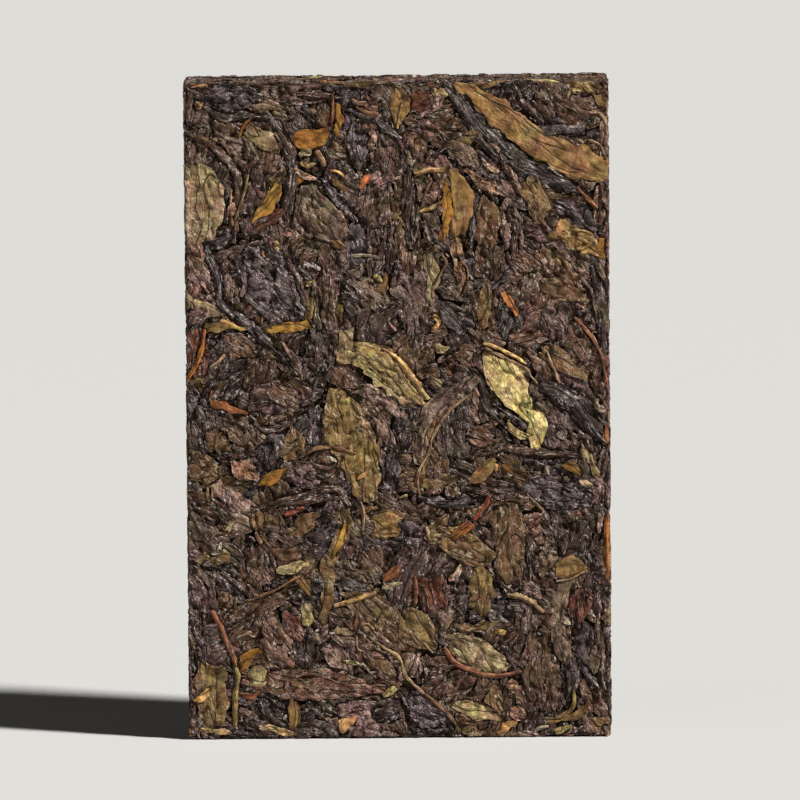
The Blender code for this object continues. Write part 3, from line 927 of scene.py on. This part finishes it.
# The rolled leaves: young leaf that was rolled and twisted before it dried, nearly black with a blue
# or purple cast, running like cords between the flat leaves.
ROLL_TINTS = {
    "slate": tone(74, 67, 68), "black": tone(58, 50, 49), "plum": tone(86, 68, 62),
    "brown": tone(80, 60, 49), "red": tone(100, 73, 60), "umber": tone(75, 59, 48),
}
FRONT_ROLLS = [
    ([(-40.6, 134.6), (-36.4, 132.4), (-30.6, 132.6), (-25, 132)], 2.6, "black"),
    ([(-27.4, 133.4), (-23.8, 128), (-22, 122), (-23, 115), (-23.2, 108)], 3.2, "plum"),
    ([(-10.4, 134), (-4.6, 131.8), (0.4, 128.2)], 2.2, "slate"),
    ([(-16.2, 120), (-12.8, 115.2), (-8.4, 110.2)], 2.2, "slate"),
    ([(10.4, 139.4), (14.6, 134), (19.6, 128), (25.6, 122.6), (32, 119.4), (38.4, 116.4)], 5.6, "slate"),
    ([(-41, 107.4), (-38, 98.6), (-36.8, 93), (-30, 87), (-26, 83), (-22.6, 79.2)], 2.7, "slate"),
    ([(29.6, 75), (35.6, 72.8), (43.8, 63.6)], 5.6, "black"),
    ([(14.6, 79.2), (17.4, 77), (18.2, 73.6), (19, 70.6), (22.4, 66.6)], 2.2, "black"),
    ([(21.5, 70.4), (24, 68.4), (27.1, 66)], 1.7, "slate"),
    ([(13.6, 59.8), (22, 61.8), (30, 60.8), (38.6, 59.8)], 2.6, "umber"),
    ([(-30.6, 49), (-22, 51.6), (-14, 53.4), (-10.6, 50.6)], 2.5, "brown"),
    ([(-24, 50), (-17.6, 51.2), (-12.6, 51.6)], 1.6, "plum"),
    ([(35.8, 17.4), (36.8, 12.6), (35.4, 8)], 3.6, "black"),
    ([(-29.8, 8.6), (-27.6, 5), (-23.4, 2.8)], 5.4, "black"),
    ([(-31.4, 69), (-28.6, 66.2), (-24.4, 66.8), (-20.6, 69.8)], 2.1, "umber"),
    ([(2.8, 120.4), (2.4, 113), (3, 104.6)], 3.6, "plum"),
    ([(16.8, 116), (16.2, 110), (15.4, 104)], 2.2, "slate"),
    ([(40.8, 101), (43, 93), (43.2, 81)], 3.0, "slate"),
    ([(-39.4, 60.9), (-31, 60.6)], 1.8, "umber"),
    ([(21.6, 20.4), (24.6, 14.8)], 1.9, "plum"),
    ([(4.6, 51.6), (10, 50.2), (16.4, 50.8)], 2.8, "black"),
    ([(19.2, 129.4), (23.2, 121.6), (27.2, 115), (33.2, 106.6)], 1.7, "red"),
    ([(7.4, 123.6), (13.4, 128.2), (18.6, 126.6)], 2.1, "brown"),
    ([(-44.4, 129.4), (-38.6, 126.4), (-33.4, 119), (-34.4, 106.4)], 2.2, "red"),
    ([(20.4, 38.4), (21.6, 33), (25, 30)], 1.8, "brown"),
    ([(-43.4, 138.6), (-43.8, 128.4)], 1.9, "plum"),
    ([(-38, 35.6), (-34, 33), (-31, 29.6)], 1.6, "plum"),
    ([(26.6, 46), (27.8, 40), (27.6, 34)], 1.9, "umber"),
    ([(-17.8, 99), (-17.2, 92), (-16.4, 86)], 1.8, "umber"),
    ([(-22.8, 107), (-23.6, 104), (-20.6, 97), (-18.6, 91)], 1.7, "plum"),
    ([(24.6, 139.6), (27.6, 134.6), (31.4, 130.6)], 1.8, "plum"),
    ([(-2, 109.6), (-3.2, 104), (-4.6, 99.4)], 2.0, "plum"),
    ([(38.2, 16.2), (42.4, 9.4)], 1.9, "slate"),
    ([(41.6, 33.4), (42.4, 22), (43.2, 8)], 1.9, "brown"),
    ([(-12.4, 59.8), (-15, 57.6), (-18.6, 59.4)], 1.6, "plum"),
    ([(23.6, 112.8), (25, 108), (24.4, 102.6)], 1.9, "plum"),
    ([(8, 26.4), (6.4, 22.8), (9.6, 19.6)], 1.4, "slate"),
    ([(-36.2, 76.4), (-40, 72.8)], 2.2, "umber"),
    ([(-20.6, 137.4), (-11.4, 136.4)], 1.8, "brown"),
]
roll_draw = np.random.default_rng(15)
rolls = new_leaves()
for path, width, tint in FRONT_ROLLS:
    lay(rolls, roll_draw, "front", path, width, ROLL_TINTS[tint], form="roll", level=-0.1, over=True,
        crease=0.14, rag=0.2)
scatter(rolls, roll_draw, 150, (9, 24), (1.2, 3), list(ROLL_TINTS.values()), tries=5, front=0,
        highest=-0.1, lowest=-0.25, forms=("roll",), crease=0.14)
into_piece("rolled_leaves", rolls, leaf_finish(
    "rolled_leaf", groove=(0.58, 0.48, 0.41), ridge_highlight=(1.6, 1.6, 1.64), gloss=0.32, net=(0.6, 2.4),
    folds=(1.4, 12.0), depth=0.2, sway_by=1.5))


# The brown leaves: whole and torn leaves turned red-brown, with a coarse grain along them, laid
# flat between the darker ones.
BROWN_TINTS = {
    "russet": tone(114, 85, 70), "red": tone(104, 64, 51), "tan": tone(140, 108, 84),
    "brown": tone(103, 79, 66), "bark": tone(90, 69, 56), "mauve": tone(138, 113, 104),
}
FRONT_BROWN = [
    ([(-10.4, 75.4), (-6, 73.8), (-2.4, 71.6), (1.6, 68.6)],
     [(0.6, 0.8), (1.4, 1.5), (1.4, 1.5), (0.5, 0.6)], "mauve", "strip"),
    ([(-34.6, 118.4), (-34.4, 106.4)], 1.9, "tan", "strip"),
    ([(2.2, 135.2), (7.4, 136)], 4.2, "red", "scrap"),
    ([(6.8, 139.2), (12, 138.8)], 2.6, "red", "scrap"),
    ([(4, 129), (4.2, 125)], 3.2, "tan", "blade"),
    ([(-42.8, 88), (-42, 77)], 4.6, "red", "strip"),
    ([(-14.6, 105.4), (-14.6, 96), (-14, 87.2)], 5.0, "bark", "strip"),
    ([(11.8, 110.6), (12.8, 103), (14, 94.6)], 2.4, "tan", "strip"),
    ([(30.6, 104.4), (35, 99.4), (39.4, 92.6)], 4.2, "tan", "strip"),
    ([(2, 106.4), (2.6, 99.6)], 3.6, "russet", "blade"),
    ([(11, 81.8), (11, 77)], 1.7, "red", "scrap"),
    ([(6.6, 34.8), (6.8, 27)], 7.0, "red", "scrap"),
    ([(-33.6, 13), (-24, 12), (-15, 11.6), (-2.6, 10.4)], 6.6, "russet", "blade"),
    ([(-24.4, 27), (-20.6, 20.6)], 4.2, "red", "blade"),
    ([(-22.2, 66.4), (-22, 59.6)], 4.6, "tan", "blade"),
    ([(-35.4, 60), (-30, 56)], 5.2, "tan", "blade"),
    ([(29.6, 22.4), (29.4, 16), (30.4, 10), (31.6, 5.4)],
     [(2, 2.6), (4, 3.6), (4.2, 3.6), (1.4, 2)], "bark", "scrap"),
    ([(-37, 86), (-29.6, 82)], 5.2, "russet", "blade"),
    ([(0.6, 13), (3.6, 18.4)], 6.6, "mauve", "blade"),
    ([(-43.4, 103), (-40, 96)], 4.2, "mauve", "blade"),
    ([(38.6, 31.6), (37.6, 24)], 5.0, "red", "blade"),
    ([(36.6, 87.4), (39, 79)], 6.6, "brown", "blade"),
    ([(20, 105.4), (19, 98)], 6.4, "bark", "scrap"),
    ([(15, 65), (20, 63.4)], 5.0, "russet", "blade"),
    ([(-36.6, 70), (-30, 62.4)], 5.4, "bark", "scrap"),
    ([(22, 50), (18.4, 46)], 6.4, "brown", "scrap"),
    ([(-30.6, 41.4), (-28, 33)], 6.0, "bark", "scrap"),
    ([(-7.4, 40), (-3, 34.6)], 7.0, "brown", "scrap"),
    ([(43.6, 118), (42.6, 110)], 4.0, "tan", "blade"),
    ([(8.4, 79), (5, 77)], 4.2, "russet", "scrap"),
    ([(-30.4, 24.4), (-35, 20)], 6.0, "brown", "scrap"),
    ([(10.4, 139), (4.4, 132)], 4.0, "mauve", "blade"),
    ([(21.4, 118.6), (25.2, 114.8)], 3.6, "mauve", "blade"),
    ([(-7.4, 18.4), (-0.4, 12.6)], 4.0, "russet", "blade"),
    ([(35, 135.2), (40.4, 131.6)], 6.0, "brown", "scrap"),
    ([(24.2, 104), (30, 100)], 5.0, "russet", "scrap"),
    ([(-26.4, 76.4), (-20, 71.6)], 6.6, "brown", "scrap"),
    ([(13.6, 16), (6, 14)], 5.6, "bark", "scrap"),
    ([(28.6, 135.4), (33, 131)], 5.0, "bark", "blade"),
    ([(16, 74.4), (18, 67.8)], 5.0, "mauve", "scrap"),
    ([(14.6, 121), (19, 118), (23.8, 115.4)], [(0.4, 0.5), (1.1, 1.3), (0.5, 0.4)], "tan", "strip"),
    ([(36.6, 104), (39, 99.6), (42, 95)], [(0.8, 0.8), (2, 1.8), (1.4, 1.2)], "mauve", "strip"),
    ([(29.6, 103), (31, 99), (34, 94.6)], [(1, 1), (2.2, 1.8), (1.6, 1.4)], "brown", "strip"),
    ([(-6.4, 71.6), (-3.4, 67), (-1.6, 62)], [(0.8, 0.8), (1.4, 1.4), (0.9, 0.9)], "mauve", "strip"),
    ([(27.4, 83), (29.6, 80), (32.4, 76.4)], [(0.6, 0.6), (1.4, 1.4), (0.7, 0.7)], "russet", "strip"),
    ([(36.6, 76), (39.6, 73.4), (43.4, 69.6)], [(0.8, 0.8), (1.4, 1.4), (0.8, 0.8)], "mauve", "strip"),
    ([(-37.4, 25.6), (-32, 28.2), (-26, 31), (-21, 33.6)],
     [(0.6, 1.4), (1.4, 2.8), (1.2, 2.6), (0.4, 1)], "bark", "strip"),
    ([(24, 33.6), (27.4, 32), (30.4, 30)], [(0.8, 0.8), (1.4, 1), (0.8, 0.6)], "mauve", "strip"),
    ([(16, 95.4), (17.6, 91), (17.4, 87)], [(1.4, 1.2), (1.8, 1.8), (1, 1)], "bark", "strip"),
    ([(22.4, 114), (24.2, 109.6), (24.6, 104)], [(1.6, 1.6), (2.6, 2.6), (2, 2)], "mauve", "strip"),
    ([(3.4, 131.6), (7.6, 129), (11, 126)], [(1.6, 1.6), (2.6, 2.6), (1.4, 1.4)], "brown", "strip"),
    ([(-44, 52), (-39.6, 49.6), (-35.6, 46)], [(1.4, 1.6), (2.6, 2.8), (1.2, 1.4)], "bark", "strip"),
    ([(-16, 20.4), (-13, 17.4), (-10, 14.6)], [(1.2, 1.2), (2.4, 2.4), (1, 1)], "mauve", "strip"),
    ([(38, 13), (41, 8), (43.6, 4)], [(1, 1), (2, 2), (1.2, 1.2)], "brown", "strip"),
    ([(9.4, 60), (8.6, 55.4), (6.6, 51.6)], [(1, 1), (1.8, 1.8), (1, 1)], "russet", "strip"),
    ([(-29, 39.6), (-24.6, 39), (-20, 40)], [(1, 1), (2, 2), (1.2, 1.2)], "russet", "strip"),
]
DULL_BROWNS = [BROWN_TINTS[name] for name in ("russet", "brown", "bark", "bark", "mauve")]
brown_draw = np.random.default_rng(16)
brown = new_leaves()
for path, width, tint, form in FRONT_BROWN:
    lay(brown, brown_draw, "front", path, width, BROWN_TINTS[tint], form=form, level=-0.2,
        tilt=brown_draw.uniform(-0.1, 0.1), crease=0.22, furrow=0.4)
scatter(brown, brown_draw, 200, (10, 24), (3, 8), DULL_BROWNS, tries=8, front=0, highest=-0.1,
        lowest=-0.3, crease=0.22, furrow=0.4)
into_piece("brown_leaves", brown, leaf_finish(
    "brown_leaf", groove=(0.66, 0.58, 0.51), ridge_highlight=(1.4, 1.39, 1.39), gloss=0.34, net=(0.6, 1.5),
    folds=(2.2, 8.0), depth=0.19, glint_and_dust_strength=0.4, pebbling=0.4))


# The broad leaves: whole, wide, dark leaves, steamed limp, flattened against the mould and wrinkled
# as they dried. They make up most of the brick and go in behind all the kinds above.
BROAD_TINTS = {
    "slate": tone(86, 77, 80), "umber": tone(72, 59, 54), "plum": tone(94, 75, 71),
    "brown": tone(95, 77, 69), "black": tone(68, 55, 53), "olive": tone(110, 92, 77),
}
FRONT_BROAD = [
    ([(-40.6, 135.6), (-34, 137), (-27.6, 136.6)], 6.8, "slate", "blade"),
    ([(-27, 137.8), (-20, 137.4), (-12, 138.2)], 4.4, "plum", "strip"),
    ([(-8, 131), (-8.2, 121.6)], 5.2, "slate", "blade"),
    ([(-30, 122), (-29.6, 115), (-29, 107.4)], [(1, 1.5), (5, 4.6), (2.5, 3.5)], "plum", "strip"),
    ([(-32, 104), (-26.4, 98.6), (-21.4, 94), (-17.4, 88.6)],
     [(2, 4), (6.4, 7.4), (5.4, 7.4), (2, 4)], "slate", "strip"),
    ([(0.4, 101.6), (4, 93), (4, 83.6)], 9.4, "plum", "blade"),
    ([(24.4, 93), (22.6, 85.6)], 6.0, "slate", "blade"),
    ([(26.6, 54.2), (30.6, 53.6), (36, 52.8), (41.4, 51)],
     [(0.8, 1.6), (3.6, 4.4), (4, 4.4), (1, 1.6)], "slate", "strip"),
    ([(32, 14), (32, 4.2)], 8.2, "plum", "blade"),
    ([(-20, 22), (-20, 14.6)], 6.0, "black", "blade"),
    ([(-33, 102.4), (-33.4, 93.6)], 6.4, "olive", "scrap"),
    ([(-40, 71), (-40, 62)], 8.0, "umber", "scrap"),
    ([(39, 46), (35.6, 37.6)], 8.0, "umber", "blade"),
    ([(9.6, 3), (1, 8.4)], 6.4, "slate", "blade"),
    ([(-6, 4), (0.4, 7.6)], 5.6, "black", "blade"),
    ([(-20, 10), (-13, 5)], 5.4, "umber", "blade"),
    ([(33, 92), (36.6, 84)], 8.0, "plum", "scrap"),
    ([(-4, 118), (-6, 109)], 7.0, "brown", "scrap"),
    ([(-38, 131), (-30, 124)], 7.4, "olive", "scrap"),
    ([(-41, 105), (-37.6, 106.6), (-35, 108.6)], [(0.6, 1), (1.6, 2), (0.6, 0.8)], "slate", "strip"),
    ([(-20.4, 116), (-20.4, 111), (-18.4, 106.4)], [(1.6, 0.8), (3, 1.6), (2, 1)], "brown", "strip"),
    ([(-8.6, 110), (-8.6, 105), (-8.2, 100.4)], [(1.4, 1.4), (1.8, 1.8), (1.4, 1.6)], "slate", "strip"),
    ([(-3.6, 110), (-3.4, 104), (-3.8, 99)], [(2.4, 2.4), (3.4, 3.2), (2.4, 2.4)], "plum", "strip"),
    ([(-9.6, 100), (-6, 96.4), (-3, 92.4)], [(2.4, 1.6), (3.4, 2.8), (2, 2)], "olive", "strip"),
    ([(16.6, 95.6), (21, 98.6), (26, 102.6)], [(1.4, 1.4), (2.4, 2.2), (1.4, 1.4)], "slate", "strip"),
    ([(-16.2, 88), (-16.4, 81.6), (-17.6, 75.4)], [(1.8, 2.4), (3.4, 3.4), (2.4, 2.4)], "umber", "strip"),
    ([(-24.6, 82.6), (-21.8, 78.8), (-20, 75)], [(1.6, 1.8), (2.6, 2.4), (1.6, 1.6)], "plum", "strip"),
    ([(-31.4, 72.4), (-25.8, 73.2), (-20.4, 74), (-15.6, 74.4)],
     [(1.8, 2.2), (3.4, 3.6), (3.2, 3), (1.2, 1.2)], "plum", "strip"),
    ([(-44, 75), (-42.4, 71), (-41.4, 67)], [(1.2, 1.2), (2.2, 2.4), (1.2, 1.2)], "slate", "strip"),
    ([(-27.4, 67), (-26.6, 62.6), (-28.6, 58.6)], [(1.8, 1.8), (2.4, 2.4), (1.8, 1.8)], "slate", "strip"),
    ([(-24, 59.6), (-20.6, 56.6), (-15.6, 54.4)], [(1.4, 1.6), (2.8, 2.6), (1.2, 1.2)], "plum", "strip"),
    ([(-17.8, 71.6), (-17.8, 66.6), (-18, 62.6)], [(1, 1), (1.5, 1.7), (1.2, 1.2)], "slate", "strip"),
    ([(-2, 61), (-1.6, 57), (-2.4, 53)], [(1.2, 1.2), (2, 2.2), (1.4, 1.4)], "slate", "strip"),
    ([(8.8, 92.6), (12.6, 89.6), (16, 87.6)], [(1.2, 1.4), (2.6, 2.8), (1.6, 1.6)], "slate", "strip"),
    ([(30.4, 71.4), (34, 67.6), (39, 63.2)], [(0.8, 1.2), (2, 3), (1, 1.6)], "plum", "strip"),
    ([(9.6, 59), (13.6, 57.6), (17, 56)], [(1.2, 1.2), (1.8, 2.2), (0.8, 0.8)], "umber", "strip"),
    ([(13.6, 53.8), (19.6, 53.4), (25.6, 52.4)], [(0.8, 1), (2, 2.4), (1.6, 1.8)], "plum", "strip"),
    ([(25.6, 58.8), (30, 57.8), (36.4, 57)], [(1, 1), (1.8, 2.2), (1.2, 1.2)], "slate", "strip"),
    ([(-44.2, 37), (-41.8, 32.4), (-40, 27.6)], [(1.2, 2), (2.8, 3.2), (1.6, 2)], "plum", "strip"),
    ([(-38.4, 38), (-35.4, 34), (-32.6, 30)], [(1.2, 2), (2.2, 3), (1.2, 1.6)], "slate", "strip"),
    ([(-28.6, 45), (-23.4, 42.8), (-17.6, 40.4)], [(1.2, 1.2), (2, 2.4), (1.2, 1.2)], "plum", "strip"),
    ([(-14, 34), (-10.6, 33), (-6.6, 32)], [(1, 1), (1.6, 1.6), (0.8, 0.8)], "slate", "strip"),
    ([(-8.4, 42.4), (-4, 41.2), (0.6, 42)], [(1, 1.2), (1.8, 2.2), (1.2, 1.2)], "slate", "strip"),
    ([(32, 50), (35, 45), (38.6, 40), (41.4, 35)],
     [(2, 2.4), (4, 4.6), (2.4, 4), (1.2, 1.6)], "umber", "strip"),
    ([(27.6, 31), (27.4, 26.4), (27.8, 21)], [(1.2, 1.6), (2.8, 2.8), (2, 2)], "plum", "strip"),
    ([(14.6, 25.8), (19, 27.2), (24.4, 25.4)], [(1, 1), (1.6, 2), (1.2, 1.2)], "slate", "strip"),
    ([(38.4, 25), (39.6, 20), (41, 14.6)], [(1.4, 1.8), (2.4, 2.8), (1.4, 1.6)], "slate", "strip"),
    ([(0.4, 46), (3, 43.6), (4.6, 40)], [(1.2, 1.2), (2.2, 2.2), (1.2, 1.2)], "slate", "strip"),
    ([(14.4, 46), (17.4, 43.4), (20, 40.4)], [(1.2, 1.2), (2.2, 2.4), (1.4, 1.4)], "plum", "strip"),
    ([(12.6, 35), (12.4, 31), (13.2, 27)], [(1.2, 1.4), (1.8, 1.8), (1.2, 1.2)], "umber", "strip"),
    ([(-3.4, 130), (-1.6, 125), (-1.4, 120)], [(1.4, 1.4), (2.6, 2.6), (1.6, 1.6)], "brown", "strip"),
    ([(3, 126), (5, 121), (6, 117)], [(1.2, 1.2), (2.2, 2.2), (1.4, 1.4)], "olive", "strip"),
    ([(-44, 24.6), (-42.4, 20), (-43, 15)], [(1.4, 1.4), (2.4, 2.4), (1.4, 1.4)], "black", "strip"),
    ([(-26, 33), (-20, 30), (-16.6, 25)], [(1.6, 1.6), (2.8, 2.8), (1.4, 1.4)], "umber", "strip"),
    ([(12, 104), (8, 108), (6.6, 113)], [(1.2, 1.2), (2.2, 2.2), (1.4, 1.4)], "brown", "strip"),
    ([(28.6, 128.6), (34, 131), (40, 130)], [(1.4, 1.4), (2.6, 2.6), (1.4, 1.4)], "slate", "strip"),
    ([(34, 114), (38, 111.6), (42.6, 109)], [(1.2, 1.2), (2.4, 2.4), (1.4, 1.4)], "slate", "strip"),
]
broad_draw = np.random.default_rng(17)
broad = new_leaves()
for path, width, tint, form in FRONT_BROAD:
    lay(broad, broad_draw, "front", path, width, BROAD_TINTS[tint], form=form, level=-0.24,
        tilt=broad_draw.uniform(-0.1, 0.1), crease=0.26, furrow=0.4, stretch=2.0)
scatter(broad, broad_draw, 260, (10, 24), (4, 10), list(BROAD_TINTS.values()), tries=14, front=0,
        highest=-0.1, lowest=-0.3, crease=0.26, furrow=0.4, stretch=3.0, shown=0.06)
WRINKLED = {"groove": (0.67, 0.58, 0.51), "ridge_highlight": (1.42, 1.4, 1.4), "depth": 0.2, "glint_and_dust_strength": 0.4}
into_piece("broad_leaves", broad, leaf_finish(
    "broad_leaf", **WRINKLED, gloss=0.32, net=(0.65, 1.5), folds=(2.2, 7.5)))


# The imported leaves: the common run of whole dark leaf, wrinkled and flattened, packed in behind all
# the others until no hole is left.
PACKED_TINTS = [
    *BROAD_TINTS.values(), *DULL_BROWNS, OLD_TINTS["moss"] * 0.6, OLD_TINTS["olive"] * 0.55,
    OLD_TINTS["brown"] * 0.8, OLD_TINTS["grey"] * 0.7,
]
PACKED_PALENESS = (0.6, 1.35)
packed_draw = np.random.default_rng(20)
packed = new_leaves()
scatter(packed, packed_draw, 150, (12, 24), (6, 12), PACKED_TINTS, tries=20,
        paleness=PACKED_PALENESS, highest=-0.1, lowest=-0.2, furrow=0.4, stretch=3.0, shown=0.1)
scatter(packed, packed_draw, 125, (7, 16), (3, 7), PACKED_TINTS, tries=30,
        paleness=PACKED_PALENESS, highest=-0.12, lowest=-0.3, furrow=0.4, stretch=3.0, shown=0.06)
into_piece("packed_leaves", packed, leaf_finish(
    "packed_leaf", **WRINKLED, gloss=0.32, net=(0.65, 1.5), folds=(2.1, 7.0)))


# The under leaves: whole dark leaves that lie deeper, so that only parts of each show, in the gaps
# between those above.
under_draw = np.random.default_rng(21)
under = new_leaves()
scatter(under, under_draw, 260, (10, 20), (6, 11), PACKED_TINTS, tries=40, paleness=(0.6, 1.3),
        highest=-0.28, lowest=-0.45, crease=0.16, stretch=3.0, shown=0.02, reach=1.0)
into_piece("under_leaves", under, leaf_finish(
    "under_leaf", **WRINKLED, gloss=0.34, net=(0.6, 1.1), folds=(1.9, 4.5), pebbling=0.4))


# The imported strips: the common run of narrow dark leaf, torn lengthwise or half rolled, that lies
# between and behind the larger leaves.
strip_draw = np.random.default_rng(19)
strips = new_leaves()
scatter(strips, strip_draw, 200, (5, 14), (1.4, 3.2), [*ROLL_TINTS.values(), *DULL_BROWNS], tries=20,
        highest=-0.08, lowest=-0.22, crease=0.16, forms=("roll", "strip", "blade"), shown=0.1)
into_piece("packed_strips", strips, leaf_finish(
    "packed_strip", groove=(0.58, 0.48, 0.41), ridge_highlight=(1.52, 1.52, 1.56), gloss=0.32, net=(0.6, 2.6),
    folds=(1.4, 10.0), depth=0.2))


# The broken bits: crumbs and torn corners of leaf that were sieved in with the whole leaves and fill
# what holes are left between them.
bits_draw = np.random.default_rng(18)
bits = new_leaves()
scatter(bits, bits_draw, 900, (1.6, 4.5), (1.2, 2.6), PACKED_TINTS, tries=60,
        paleness=PACKED_PALENESS, highest=-0.3, stretch=1.5, shown=0.08, reach=0.5)
into_piece("broken_bits", bits, leaf_finish(
    "broken_bit", groove=(0.58, 0.48, 0.41), ridge_highlight=(1.6, 1.6, 1.64), gloss=0.4, net=(0.5, 0.7),
    folds=(1.2, 3.0), depth=0.2))


# The floor, the lamps and the camera: a plain pale floor, a main light high on the right that rakes
# across the leaves, a soft light from the left, and a long lens a little above the brick's middle.
# Places here are in metres.
KEY_PLACE = (0.9, -0.42, 1.0)
FILL_PLACE = (-0.9, -0.8, 0.4)
PAPER_COLOUR = (0.42, 0.41, 0.39, 1)
STUDIO_COLOUR = (1.0, 0.98, 0.96, 1)
CENTRE = Vector(MIDDLE) * MM
CAMERA_DISTANCE = 1.9
CAMERA_RISE = math.radians(6.0)
CAMERA_ROLL = math.radians(-0.42)
VIEW_RIGHT = 0.0004
VIEW_UP = 0.0023


def aim(holder, place, target):
    """Puts a lamp at a place, looking at a point."""
    holder.location = place
    holder.rotation_euler = (Vector(target) - Vector(place)).to_track_quat("-Z", "Y").to_euler()
    bpy.context.scene.collection.objects.link(holder)


key = bpy.data.lights.new("key", "SUN")
key.energy = 8.0
key.angle = math.radians(6)
aim(bpy.data.objects.new("key", key), KEY_PLACE, CENTRE)
fill = bpy.data.lights.new("fill", "AREA")
fill.size = 0.9
fill.energy = 2.0
aim(bpy.data.objects.new("fill", fill), FILL_PLACE, CENTRE)

floor_shape = bmesh.new()
bmesh.ops.create_grid(floor_shape, x_segments=1, y_segments=1, size=12.0)
floor_mesh = bpy.data.meshes.new("floor")
floor_shape.to_mesh(floor_mesh)
floor_shape.free()
floor = bpy.data.objects.new("floor", floor_mesh)
bpy.context.scene.collection.objects.link(floor)
paper = bpy.data.materials.new("pale_paper")
paper.use_nodes = True
paper_surface = paper.node_tree.nodes["Principled BSDF"]
paper_surface.inputs["Base Color"].default_value = PAPER_COLOUR
paper_surface.inputs["Roughness"].default_value = 0.9
floor_mesh.materials.append(paper)

world = bpy.data.worlds.new("studio")
world.use_nodes = True
studio_light = world.node_tree.nodes["Background"]
studio_light.inputs["Color"].default_value = STUDIO_COLOUR
studio_light.inputs["Strength"].default_value = 0.03
bpy.context.scene.world = world

camera_data = bpy.data.cameras.new("camera")
camera_data.sensor_width = 36.0
camera_data.lens = 404.0
camera_data.clip_end = 30.0
camera = bpy.data.objects.new("camera", camera_data)
target = Vector((VIEW_RIGHT, LOW[1] * MM, CENTRE.z + VIEW_UP))
away = Vector((0.0, -math.cos(CAMERA_RISE), math.sin(CAMERA_RISE)))
camera.location = target + away * CAMERA_DISTANCE
camera.rotation_euler = (away.to_track_quat("Z", "Y").to_matrix() @ Matrix.Rotation(
    CAMERA_ROLL, 3, "Z")).to_euler()
bpy.context.scene.collection.objects.link(camera)
bpy.context.scene.camera = camera
bpy.context.scene.view_settings.view_transform = "Standard"
